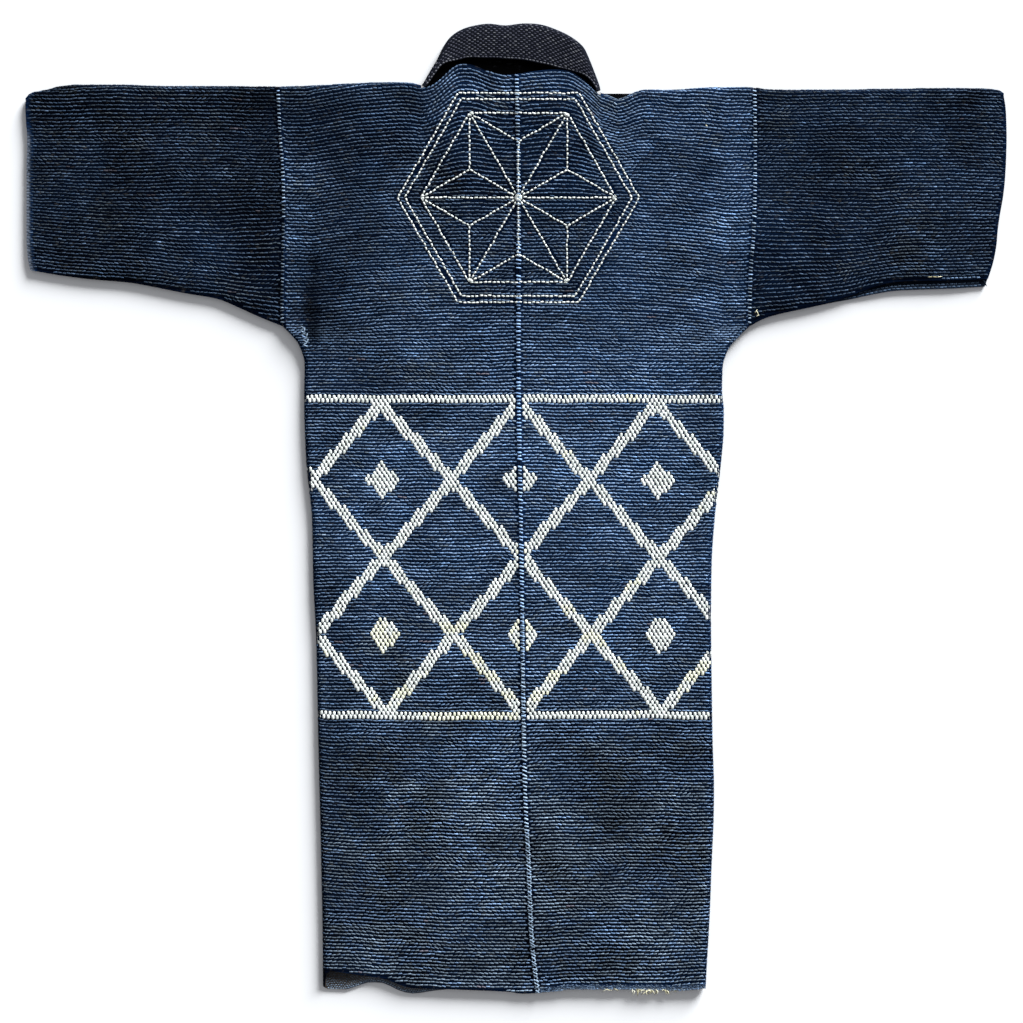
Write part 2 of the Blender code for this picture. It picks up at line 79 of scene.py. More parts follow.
ARM_RIGHT = [(222, 292.0), (256, 292.2), (295, 293.4), (346, 297.2), (410, 299.0),
             (461, 299.2), (532, 298.2)]
SEAM_REACH_LEFT = [(-604, 30.0), (-100, 30.0), (62, 26.0), (140, 17.0), (182, 8.0),
                   (207, 2.5), (219, 0.0), (229, 0.0)]
SEAM_REACH_RIGHT = [(-604, 46.0), (-100, 44.0), (62, 32.0), (140, 18.0), (182, 8.0),
                    (207, 2.5), (219, 0.0), (229, 0.0)]
TOP_LEFT = [(-613, 514.0), (-607, 520.8), (-599, 523.2), (-584, 526.0), (-569, 530.2), (-545, 531.8),
            (-494, 531.6), (-444, 529.8), (-344, 529.6), (-296, 529.4), (-269, 529.8), (-244, 531.2),
            (-219, 532.4), (-194, 534.0), (-144, 534.6), (-131, 534.2), (-123, 532.2), (-118, 531.2)]
TOP_RIGHT = [(105, 521.8), (117, 517.4), (128, 513.2), (135, 514.8), (146, 520.6), (155, 524.4),
             (163, 525.4), (200, 525.4), (215, 526.4), (231, 528.0), (262, 528.6), (285, 528.8),
             (299, 527.8), (314, 525.8), (330, 525.2), (420, 525.4), (450, 526.2), (480, 526.4),
             (512, 527.4), (574, 527.4), (593, 526.8), (601, 525.6), (607, 523.6), (613, 519.0)]
NECK = [(-118.4, 525.3), (-105, 530.5), (-92, 540.0), (-80, 552.0), (-68, 557.8), (-54, 556.4),
        (-41, 550.8), (-28, 546.2), (-13, 543.8), (4, 545.0), (22, 548.0), (39, 549.9),
        (54, 550.4), (67, 548.4), (82, 539.6), (96, 527.2), (105.4, 517.1)]
HEM_BACK = [(-243, -573.8), (-226, -576.0), (-194, -581.0), (-166, -585.0), (-147, -592.0),
            (-129, -596.9), (-77, -598.8), (-7, -602.0), (7, -604.2), (51, -601.0),
            (68, -598.8), (138, -598.8), (206, -600.0), (238, -597.6)]
HEM_FRONT = [(-241, -594.5), (-237, -598.2), (-231, -599.9), (-217, -600.2), (-199, -596.0), (-186, -591.2), (-171, -590.8),
             (-157, -595.2), (-143, -602.0), (-129, -604.8), (-100, -601.0), (-64, -598.0),
             (64, -594.0), (150, -593.5), (215, -594.5), (238, -597.0)]
FRONT_EDGE = [(-604, -63.0, 63.0), (0, -63.0, 63.0), (150, -67.0, 66.0), (300, -82.0, 76.0),
              (420, -101.0, 89.5), (500, -115.6, 102.0), (532, -117.8, 104.8)]
CUFF_LEFT = [(290, -603.0), (298, -605.6), (308, -608.0), (320, -609.8), (337, -610.8),
             (412, -610.8), (431, -610.8), (450, -610.2), (469, -610.2), (480, -611.2), (490, -611.8),
             (506, -612.4), (514, -610.8), (521, -606.6), (535, -598.0)]
CUFF_RIGHT = [(276, 585.6), (284, 588.6), (295, 592.4), (312, 597.4), (332, 601.0), (350, 602.6),
              (369, 605.2), (388, 608.6), (407, 611.0), (426, 612.4), (445, 613.2), (465, 613.6),
              (485, 613.2), (503, 612.2), (513, 610.6), (522, 608.4), (535, 604.0)]
BOTTOM_LEFT = [(-613, 300.8, 300.8), (-600, 298.8, 298.8), (-576, 294.6, 294.6), (-536, 289.2, 289.2),
               (-482, 284.4, 284.4), (-454, 279.4, 279.4), (-414, 271.4, 271.4), (-373, 264.2, 264.2),
               (-347, 253.6, 253.6), (-319, 241.0, 241.0), (-290, 229.4, 229.4)]
BOTTOM_RIGHT = [(292, 229.6, 229.6), (315, 241.0, 241.0), (369, 253.6, 253.6), (397, 259.6, 261.0),
                (424, 264.6, 270.2), (438, 268.0, 275.6), (480, 274.8, 285.4), (540, 277.0, 287.2),
                (588, 279.6, 288.8), (612, 281.0, 290.0)]
COLLAR_BACK = [
    (-117.6, 530.8, -60.0, 508.0, 5.6),
    (-114.0, 536.0, -57.0, 515.0, 6.6),
    (-106.5, 549.5, -55.0, 523.0, 8.0),
    (-98.0, 563.5, -51.0, 529.0, 10.5),
    (-90.2, 579.5, -44.0, 533.0, 24.5),
    (-79.5, 593.2, -36.0, 535.0, 34.6),
    (-62.0, 603.0, -28.0, 537.0, 42.4),
    (-36.0, 608.0, -18.0, 536.5, 44.4),
    (-13.0, 606.0, -7.0, 536.0, 42.4),
    (9.4, 608.4, 4.0, 536.5, 45.6),
    (31.0, 607.2, 14.0, 538.0, 47.8),
    (50.0, 601.2, 22.0, 539.0, 47.0),
    (69.0, 592.0, 28.0, 537.0, 44.8),
    (84.5, 579.5, 34.0, 533.5, 40.0),
    (92.6, 563.5, 39.0, 529.0, 26.6),
    (99.2, 547.0, 43.0, 523.0, 12.5),
    (104.6, 532.5, 46.0, 515.0, 6.8),
    (106.4, 525.0, 50.0, 508.0, 5.4),
]

# Folds and creases of the upper layer: start x, y, end x, y, half width, height (below 0 is a trough)
FOLDS = [
    # the large ones, as on the solid
    (-150, 524, -108, 470, 9, -1.3), (-172, 520, -128, 452, 13, 1.2), (-96, 520, -60, 486, 15, 1.0),
    (120, 512, 176, 452, 11, -1.4), (148, 516, 214, 440, 14, 1.6), (-252, 318, -262, 236, 8, -1.3),
    (-238, 300, -222, 214, 15, 1.1), (-330, 262, -250, 262, 12, 0.8), (232, 312, 282, 252, 16, 1.4),
    (250, 290, 262, 226, 8, -1.0), (440, 330, 590, 400, 22, 1.0), (-470, 440, -420, 460, 26, 0.7),
    (-404, 300, -360, 330, 20, 0.8), (-190, 120, -60, 60, 42, 0.6), (60, 180, 180, 100, 44, 0.6),
    (-210, -120, -160, -420, 26, 0.8), (-120, -360, -104, -470, 18, -0.7), (90, -260, 60, -520, 36, 0.7),
    (190, -60, 210, -460, 22, 0.8), (-40, -40, -30, -300, 40, 0.5),
    # the finer ones
    (-264, 306, -226, 298, 6, -0.9), (-270, 246, -232, 236, 6, -1.0), (-282, 262, -300, 246, 7, -0.8),
    (-222, 338, -196, 262, 10, 0.6), (-202, 250, -120, 214, 11, -0.5), (-300, 300, -342, 270, 9, -0.7),
    (-352, 316, -300, 352, 12, 0.6), (-380, 372, -322, 410, 14, -0.5), (-430, 330, -380, 306, 11, -0.6),
    (-500, 320, -440, 366, 15, 0.6), (-540, 470, -500, 420, 12, -0.5), (-586, 500, -556, 470, 10, -0.8),
    (-590, 400, -530, 380, 13, 0.5), (-560, 320, -520, 300, 10, -0.5), (-250, 500, -214, 440, 13, 0.6),
    (-228, 420, -186, 380, 14, -0.4), (-120, 440, -84, 400, 12, -0.4), (-60, 530, -46, 500, 10, 0.8),
    (-34, 536, -22, 508, 9, -0.7), (66, 536, 84, 504, 9, 0.8), (96, 506, 128, 470, 8, -0.8),
    (30, 534, 34, 508, 9, -0.4), (196, 500, 232, 452, 12, -0.7), (236, 470, 262, 396, 11, 0.9),
    (272, 440, 284, 360, 9, 0.6), (214, 352, 250, 300, 9, -0.7), (244, 262, 276, 240, 5, -0.9),
    (204, 262, 246, 226, 9, 0.6), (312, 330, 380, 284, 13, 0.7), (318, 296, 372, 268, 8, -0.7),
    (330, 470, 390, 430, 15, -0.5), (420, 460, 500, 476, 16, 0.5), (480, 344, 560, 366, 9, -0.7),
    (540, 430, 596, 470, 14, -0.5), (560, 330, 598, 346, 10, -0.5), (400, 392, 470, 410, 15, -0.4),
    (-232, 160, -180, 190, 11, -0.5), (-244, 90, -206, 60, 9, -0.6), (-236, 20, -190, 44, 12, 0.5),
    (-150, 10, -90, -30, 20, -0.4), (-236, -60, -206, -100, 9, -0.5), (-180, -200, -120, -250, 18, -0.4),
    (-232, -240, -214, -330, 8, -0.6), (-90, -300, -70, -430, 15, 0.5), (-228, -440, -190, -470, 9, -0.5),
    (-222, -530, -150, -560, 9, -0.35), (-206, -508, -120, -540, 11, 0.3), (-130, -566, -70, -580, 9, -0.3),
    (-60, -520, -40, -590, 13, 0.5), (40, -560, 70, -500, 12, -0.4), (120, -520, 150, -590, 14, 0.5),
    (206, -520, 222, -590, 8, -0.5), (150, -380, 190, -340, 14, -0.4), (216, -260, 228, -190, 8, -0.5),
    (100, -120, 170, -160, 20, 0.4), (210, -20, 236, 40, 9, -0.5), (150, 30, 206, 70, 16, 0.4),
    (230, 110, 246, 170, 8, -0.6), (60, 60, 110, 20, 18, -0.4), (30, 260, 90, 230, 20, 0.4),
    (-90, 300, -40, 270, 18, -0.4), (110, 380, 170, 350, 18, 0.4), (-30, 150, 20, 110, 22, 0.35),
]

# Shallow hollows of the layers on the ground, whose faces are hidden under the coat
HOLLOWS = [
    (-230, 60, -150, 20, 12, 0.8), (-210, -90, -120, -130, 15, 0.6), (-200, -260, -110, -240, 11, 0.9),
    (-226, -420, -160, -470, 14, 0.7), (-120, 200, -180, 130, 13, 0.8), (-240, 280, -190, 200, 10, 0.9),
    (-250, 430, -170, 380, 15, 0.6), (-130, -560, -90, -500, 11, 0.7), (90, 150, 170, 110, 14, 0.8),
    (120, -20, 200, 30, 12, 0.6), (100, -180, 190, -150, 16, 0.8), (110, -330, 170, -380, 12, 0.7),
    (130, -500, 180, -460, 13, 0.9), (240, 250, 180, 190, 10, 0.8), (150, 420, 240, 360, 15, 0.7),
    (-420, 330, -340, 300, 12, 0.8), (-560, 440, -480, 400, 16, 0.6), (-400, 470, -330, 430, 12, 0.7),
    (340, 300, 430, 340, 13, 0.8), (460, 420, 560, 450, 15, 0.6), (520, 340, 580, 320, 10, 0.8),
]

# How bright the stitches and the cloth are, as faded, with painted shade in some creases and painted highlights on some
# folds, as marked below: middle x, y, reach x, y, gain (1 leaves it alone)
LEFT_SLEEVE_LEVEL, RIGHT_SLEEVE_LEVEL, BODY_LEVEL = 0.044, 0.055, 0.131
FADES_AND_PAINTED_LIGHT = [
    (-266, 498, 56, 70, 0.48),
    # painted shade in the crease by the left armhole: the entries at (-250, 260), (-254, 234), (-257, 264) and (-249,
    # 302)
    (-250, 260, 26, 60, 0.62), (-254, 234, 8, 22, 0.04), (-257, 264, 7, 22, 0.25), (-182, 474, 84, 62, 0.80), (-249, 302, 6, 20, 0.36), (-214, 250, 50, 90, 0.80),
    # painted shade in the crease left of the neck: the entry at (-130, 500)
    (-215, 390, 60, 90, 0.70), (-188, -350, 50, 70, 0.76), (-190, 190, 60, 50, 0.82), (-180, 500, 60, 40, 0.80), (-130, 500, 18, 26, 0.62),
    (-230, 430, 34, 110, 0.66), (0, 470, 150, 90, 0.88), (-80, 360, 90, 90, 0.88), (-190, 360, 40, 60, 0.82), (90, 380, 100, 100, 0.92),
    # painted highlight on the folds by the right armpit: the entry at (262, 390)
    (150, 250, 90, 70, 1.10), (0, 210, 90, 70, 1.16), (-140, 190, 90, 60, 0.90), (262, 390, 26, 70, 1.70),
    (240, 250, 40, 40, 1.15), (190, 480, 60, 40, 1.05), (60, 140, 120, 60, 1.14), (-60, 60, 100, 80, 1.22),
    (70, 60, 110, 80, 1.25), (-190, 60, 60, 90, 1.15), (200, 70, 60, 90, 1.12), (-50, -70, 110, 70, 1.24),
    (90, -70, 100, 80, 1.08), (-200, -110, 50, 100, 1.12), (205, -110, 50, 90, 1.25), (-40, -200, 90, 60, 1.20),
    (110, -210, 100, 60, 1.04), (-230, -200, 20, 300, 0.62), (-205, -330, 46, 90, 0.72), (-112, -395, 24, 70, 0.70),
    (-50, -380, 60, 90, 1.24), (60, -330, 60, 90, 0.92), (130, -350, 80, 80, 0.84), (215, -330, 30, 110, 0.95),
    (-120, -500, 90, 60, 1.04), (-210, -500, 40, 60, 0.82), (20, -500, 60, 60, 1.10), (120, -500, 90, 60, 1.02),
    (225, -480, 20, 90, 0.85), (-430, 460, 50, 30, 1.25), (-375, 320, 40, 34, 1.28), (-560, 430, 50, 70, 0.92),
    # painted highlight along the right sleeve's diagonal fold: the entry at (500, 365)
    (-330, 420, 40, 90, 0.86), (-590, 470, 18, 60, 0.8), (500, 365, 80, 34, 1.35), (340, 320, 50, 50, 1.10),
    (560, 470, 60, 40, 0.86), (420, 460, 80, 50, 0.95), (330, 480, 40, 40, 1.05), (590, 330, 24, 40, 0.85),
]


# ---------------------------------------------------------------- small mathematics
def curve(table, t, column=1):
    """Smooth values of a table's column at t, with no overshoot between its rows."""
    xs = np.array([row[0] for row in table], float)
    ys = np.array([row[column] for row in table], float)
    t = np.clip(np.asarray(t, float), xs[0], xs[-1])
    width = np.diff(xs)
    slope = np.diff(ys) / width
    tangent = np.concatenate([slope[:1], slope[:-1], slope[-1:]])
    a, b = slope[:-1], slope[1:]
    same = a * b > 0
    tangent[1:-1] = np.where(same, 2 * a * b / np.where(same, a + b, 1.0), 0.0)
    k = np.clip(np.searchsorted(xs, t, side="right") - 1, 0, len(width) - 1)
    f = (t - xs[k]) / width[k]
    return ((1 + 2 * f) * (1 - f) ** 2 * ys[k] + f * (1 - f) ** 2 * width[k] * tangent[k]
            + f * f * (3 - 2 * f) * ys[k + 1] + f * f * (f - 1) * width[k] * tangent[k + 1])


def flow(table, t, column):
    """A value between evenly numbered rows of a table, flowing through every one of them."""
    t = min(max(t, 0.0), len(table) - 1.0)
    k = min(int(t), len(table) - 2)
    f = t - k
    a, b, c, d = (table[min(max(i, 0), len(table) - 1)][column] for i in range(k - 1, k + 3))
    return b + 0.5 * f * (c - a + f * (2 * a - 5 * b + 4 * c - d + f * (3 * (b - c) + d - a)))


def soft(t):
    """0 below 0, 1 above 1, smooth between."""
    t = np.clip(t, 0.0, 1.0)
    return t * t * (3 - 2 * t)


def creases(table, x, y):
    """Height that a table of folds adds at x, y."""
    total = np.zeros(np.broadcast(x, y).shape)
    for x0, y0, x1, y1, half, height in table:
        dx, dy = x1 - x0, y1 - y0
        length = math.hypot(dx, dy)
        along = ((x - x0) * dx + (y - y0) * dy) / length
        across = ((x - x0) * dy - (y - y0) * dx) / length
        end = 0.45 * length
        reach = soft((along + end * 0.4) / end) * soft((length + end * 0.4 - along) / end)
        total += height * reach * np.exp(-(across / half) ** 2)
    return total


def rumple(x, y):
    """The cloth's faint unevenness, in millimetres."""
    total = 0.0
    for kx, ky, phase, height in (
            (0.061, 0.023, 0.3, 0.11), (-0.037, 0.071, 1.9, 0.12), (0.098, -0.052, 4.1, 0.07),
            (0.019, 0.113, 2.7, 0.08), (0.143, 0.031, 5.2, 0.05), (-0.083, -0.097, 0.9, 0.06),
            (0.029, -0.041, 3.3, 0.16), (0.171, 0.129, 1.1, 0.03)):
        total = total + height * np.sin(kx * x + ky * y + phase + 0.8 * np.sin(0.011 * x - 0.017 * y + phase))
    return total


def wave(x, y):
    """How far the rows of quilting wander from straight, in millimetres."""
    total = 0.0
    for kx, ky, phase, height in (
            (0.021, 0.006, 0.6, 0.65), (0.047, -0.011, 2.2, 0.30), (0.083, 0.017, 4.4, 0.22),
            (0.013, 0.027, 1.3, 0.5), (0.131, -0.023, 5.5, 0.15)):
        total = total + height * np.sin(kx * x + ky * y + phase + 0.9 * np.sin(0.019 * y + 0.007 * x + 2 * phase))
    return total


def upper_mid(x, y, from_fold):
    """Middle of the upper layer; from_fold is the distance in from the nearest rolled edge."""
    lift = np.exp(-np.maximum(0.0, from_fold) / 20.0)
    z = REST_MID + (creases(FOLDS, x, y) + rumple(x, y)) * (1 - lift)
    return z + (FOLD_MID - z) * lift


def ground_mid(x, y, edge):
    """Middle of a layer on the ground; edge is the distance in from its seams and folds."""
    return GROUND_MID + creases(HOLLOWS, x, y) * soft((edge - 6.0) / 22.0)


def ridge(d, scale=1.0):
    """Height of a seam at a distance d from its line: a low ridge with a crease beside it."""
    return scale * (0.9 * np.exp(-(d / 3.6) ** 2) - 0.6 * np.exp(-((d - 6.4) / 2.0) ** 2))


# ---------------------------------------------------------------- the panels' grids
class Half:
    """One half of the body: side is -1 on the left, +1 on the right."""

    def __init__(self, side):
        left = side < 0
        self.side = side
        self.fold = SIDE_LEFT if left else SIDE_RIGHT
        self.arm = ARM_LEFT if left else ARM_RIGHT
        self.reach = SEAM_REACH_LEFT if left else SEAM_REACH_RIGHT
        self.top = TOP_LEFT if left else TOP_RIGHT
        self.neck_end = 119.6 if left else 104.2
        self.front_column = 1 if left else 2
        self.neck = np.concatenate([[0, 1.2, 2.6, 4.2, 6.0, 7.6, 9.6, 13.0, 18.0],
                                    np.linspace(25.0, self.neck_end, 13)])
        self.share = np.linspace(0, 1, 16)[1:]
        self.inset = np.linspace(0, 1, 8)[1:]
        self.turn = np.linspace(0, 1, 9)[1:]
        # how far each of the back's columns has gone over to the front's hem, round the side fold
        inner = np.full(len(self.neck) + len(self.share), -99.0)
        near = -QUARTER - (36.0 - FOLD_OUT) * (1 - self.inset)
        round_it = -QUARTER + 2 * QUARTER * np.append(self.turn, 1.4)
        self.turned = soft((np.concatenate([inner, near, round_it]) + 8.0) / 10.0)

    def centre(self, y):
        return curve(CENTRE, y) + self.side * SEAM_GAP / 2

    def edge(self, y):
        """The outermost line: the side's fold, and above the armpit the armhole seam."""
        w = soft((y - ARMHOLE_END + 2.0) / 10.0)
        return curve(self.fold, y) * (1 - w) + (curve(self.arm, y) - self.side * SEAM_GAP / 2) * w

    def seam_gap(self, y):
        return SEAM_GAP + 1.2 * soft((y - 150.0) / 50.0)

    def round_side(self, y, q):
        """x and z at q along the cloth from the side fold's outermost line."""
        middle = curve(self.fold, y) - self.side * FOLD_OUT
        x = np.where(q > QUARTER, middle - self.side * (q - QUARTER),
                     middle + self.side * FOLD_R * np.cos(np.minimum(q, QUARTER) / FOLD_R))
        z = np.where(q > QUARTER, GROUND_MID,
                     GROUND_MID + FOLD_R - FOLD_R * np.sin(np.minimum(q, QUARTER) / FOLD_R))
        return x, z

    def upper(self, x, y):
        """Middle of the back where it lies free."""
        inward = np.maximum(0.0, (self.centre(y) + self.side * self.neck_end - x) * self.side)
        top = curve(self.top, x) - FOLD_OUT
        from_top = np.maximum(0.0, top - y) + 1.4 * inward
        quarter = curve(self.fold, y) - self.side * FOLD_OUT
        from_side = np.abs(quarter - x) + 70.0 * soft((y - ARMHOLE_END) / 30.0)
        z = upper_mid(x, y, np.minimum(from_top, from_side))
        below = curve(NECK, x) - y
        drop = np.exp(-np.maximum(0.0, below) / 16.0) * soft((inward - 2.0) / 22.0)
        z = z + (LAPPED_MID - z) * drop
        z = z + ridge(np.abs(x - curve(CENTRE, y)))
        to_arm = np.abs(curve(self.arm, y) - x)
        return z + ridge(to_arm, 0.9) * soft((y - ARMHOLE_END + 4.0) / 12.0) * (1 - soft((y - top + 9.0) / 9.0))

    def back_plan(self, y):
        """x of every column of the back, and z of the ones round the side."""
        n, b, c = len(self.neck), len(self.share), len(self.inset)
        x, z = np.empty_like(y), np.full_like(y, np.nan)
        side = self.side
        x[:, :n] = self.centre(y[:, :n]) + side * self.neck
        at = y[:, n:n + b]
        inner, roll = self.centre(at) + side * self.neck_end, self.edge(at) - side * 36.0
        x[:, n:n + b] = inner + (roll - inner) * self.share
        at = y[:, n + b:n + b + c]
        x[:, n + b:n + b + c] = self.edge(at) - side * (36.0 - (36.0 - FOLD_OUT) * self.inset)
        at = y[:, n + b + c:]
        reach = curve(self.reach, at) - self.seam_gap(at) / 2
        end = np.minimum(QUARTER, reach - 1.2)
        v = np.append(self.turn, 1.0)
        q = -QUARTER + (end + QUARTER) * v
        q[:, -1] = reach[:, -1]
        xf, zf = self.round_side(at, q)
        w = soft((at - ARMHOLE_END) / 12.0)
        xa = self.edge(at) - side * FOLD_OUT * (1 - np.arange(1, len(v) + 1) / len(v))
        x[:, n + b + c:] = xf * (1 - w) + xa * w
        z[:, n + b + c:] = zf
        return x, z

    def front_plan(self, y):
        """x and z of every column of the front, from the collar's seam to the side seam."""
        b, c = len(self.share), len(self.inset)
        side = self.side
        reach = curve(self.reach, y) + self.seam_gap(y) / 2
        end = np.maximum(QUARTER, reach + 1.2)
        start = np.maximum(37.0, end + 6.0 - QUARTER + FOLD_OUT)
        outer = self.edge(y)
        first = curve(FRONT_EDGE, y, self.front_column) + side * SEAM_GAP / 2
        x, z = np.empty_like(y), np.full_like(y, GROUND_MID)
        share = np.concatenate([[0.0], self.share])
        x[:, :b + 1] = first[:, :b + 1] + (outer - side * start - first)[:, :b + 1] * share
        near = (FOLD_OUT + end - QUARTER)[:, b + 1:b + 1 + c]
        near = near + (FOLD_OUT - near) * soft((y[:, b + 1:b + 1 + c] - ARMHOLE_END) / 12.0)
        from_edge = start[:, b + 1:b + 1 + c]
        x[:, b + 1:b + 1 + c] = outer[:, b + 1:b + 1 + c] - side * (from_edge + (near - from_edge) * self.inset)
        at, v = y[:, b + 1 + c:], np.append(self.turn, 1.0)
        v = np.arange(1, len(v) + 1) / len(v)
        q = end[:, b + 1 + c:] + (reach - end)[:, b + 1 + c:] * v
        xf, zf = self.round_side(at, q)
        w = soft((at - ARMHOLE_END) / 12.0)
        x[:, b + 1 + c:] = xf * (1 - w) + (outer[:, b + 1 + c:] - side * FOLD_OUT * (1 - v)) * w
        w = soft((at - 205.0) / 24.0)
        z[:, b + 1 + c:] = zf * (1 - w) + GROUND_MID * w
        return x, z

    def back_hem(self, x):
        return curve(HEM_BACK, x) * (1 - self.turned) + curve(HEM_FRONT, x) * self.turned

    def grid(self):
        """The middle of the panel, back rows first, then round the shoulder to the front hem."""
        n = len(self.neck)
        low = np.linspace(-600.0, ARMHOLE_END, 198)
        high = np.linspace(ARMHOLE_END, 520.25, 70)[1:]
        rows = np.concatenate([low, high])[:, None]
        columns = n + len(self.share) + len(self.inset) + len(self.turn) + 1
        y = np.repeat(rows, columns, axis=1)
        down = 1 - soft((rows + 600.0) / 170.0)
        up = soft((rows - 370.0) / 150.25)
        for _ in range(4):
            x, zf = self.back_plan(y)
            top = curve(self.top, x) - FOLD_OUT - 520.25
            top[:, :n - 1] = curve(NECK, x[:, :n - 1]) - 520.25
            y = rows + (self.back_hem(x) + 600.0) * down + top * up
        z = self.upper(x, y)
        w = soft((y - ARMHOLE_END) / 30.0)
        z = np.where(np.isnan(zf), z, zf * (1 - w) + z * w)
        back = np.stack([x, y, z], axis=2)

        last = back[-1]
        turned = []
        for turn in np.linspace(0, math.pi, 9)[1:-1]:
            r = (last[:, 2] - GROUND_MID) / 2
            row = np.stack([last[:, 0], last[:, 1] + r * np.sin(turn), GROUND_MID + r + r * np.cos(turn)], axis=1)
            turned.append(row)

        rows = np.concatenate([low[:-1:2], high[::2], [520.25]])[::-1][:, None]
        m = columns - n + 1
        y = np.repeat(rows, m, axis=1)
        down = 1 - soft((rows + 600.0) / 170.0)
        up = soft((rows - 370.0) / 150.25)
        keep = soft((rows - 470.0) / 50.0)
        for _ in range(4):
            x, z = self.front_plan(y)
            x = x * (1 - keep) + last[n - 1:, 0] * keep
            y = rows + (curve(HEM_FRONT, x) + 600.0) * down + (curve(self.top, x) - FOLD_OUT - 520.25) * up
        y[0] = last[n - 1:, 1]
        x[0] = last[n - 1:, 0]
        first = curve(FRONT_EDGE, y, self.front_column)
        inset = np.minimum(np.minimum(np.abs(x - first), np.abs(self.edge(y) - x) - 20.0),
                           np.minimum(520.0 - y, y + 600.0))
        z = np.where(z > GROUND_MID + 0.01, z, ground_mid(x, y, inset))
        front = np.full((len(rows), columns, 3), np.nan)
        front[:, n - 1:] = np.stack([x, y, z], axis=2)
        turned = np.array(turned)
        turned[:, :n - 1] = np.nan
        self.back_rows = len(back)
        return np.concatenate([back, turned, front])


def sleeve_grid(side):
    """The middle of a sleeve: upper layer from its bottom edge, the fold along the top, under layer."""
    left = side < 0
    arm = ARM_LEFT if left else ARM_RIGHT
    cuff = CUFF_LEFT if left else CUFF_RIGHT
    top = TOP_LEFT if left else TOP_RIGHT
    bottom = BOTTOM_LEFT if left else BOTTOM_RIGHT
    along = np.concatenate([[0, 1.5, 3.2, 5.0, 7.2, 9.5, 13, 18], np.linspace(25, 300, 38), [305, 308.3, 309.2, 311.5, 314]]) / 314.0

    def place(share, column):
        y = np.full((len(share), len(along)), 400.0)
        for _ in range(12):
            start = curve(arm, y) + side * SEAM_GAP / 2
            x = start + (curve(cuff, y) - start) * along
            low = curve(bottom, x, column)
            y = low + (curve(top, x) - FOLD_OUT - low) * share[:, None]
        return x, y, low

    rise = np.concatenate([[0.0, 0.006, 0.013, 0.02], np.linspace(0.03, 1.0, 66)])
    x, y, low = place(rise, 2)
    z = upper_mid(x, y, curve(top, x) - FOLD_OUT - y)
    z = z + (LAPPED_MID - z) * (1 - soft((y - low) / 16.0))
    fades = soft((y - ARMHOLE_END + 4.0) / 12.0) * (1 - soft((y - curve(top, x) + FOLD_OUT + 9.0) / 9.0))
    z = z + ridge(np.abs(x - curve(arm, y)), 0.9) * fades
    cuff_roll = np.exp(-np.abs(x - curve(cuff, y)) / 5.0)
    z = z - 0.5 * cuff_roll
    upper = np.stack([x, y, z], axis=2)
    last = upper[-1]
    turned = []
    for turn in np.linspace(0, math.pi, 9)[1:-1]:
        r = (last[:, 2] - GROUND_MID) / 2
        turned.append(np.stack([last[:, 0], last[:, 1] + r * np.sin(turn),
                                GROUND_MID + r + r * np.cos(turn)], axis=1))
    x, y, low = place(np.linspace(1.0, 0.0, 34), 1)
    inset = np.minimum(np.minimum(np.abs(x - curve(arm, y)), np.abs(x - curve(cuff, y))),
                       np.minimum(y - low, 515.0 - y))
    under = np.stack([x, y, ground_mid(x, y, inset)], axis=2)
    if not left:
        lip = curve(bottom, x, 2) - 1.2 - y
        under[:, :, 2] += 1.7 * soft(lip / 9.0) * soft((x - 400.0) / 40.0) * soft((600.0 - x) / 60.0)
    whole = np.concatenate([upper, np.array(turned), under])
    # the sleeves lie flatter towards the cuffs
    near = soft((70.0 - np.abs(whole[:, :, 0] - curve(cuff, whole[:, :, 1]))) / 70.0)
    above = np.maximum(whole[:, :, 2] - 4.4, 0.0)
    whole[:, :, 2] -= 0.55 * near * above
    return whole


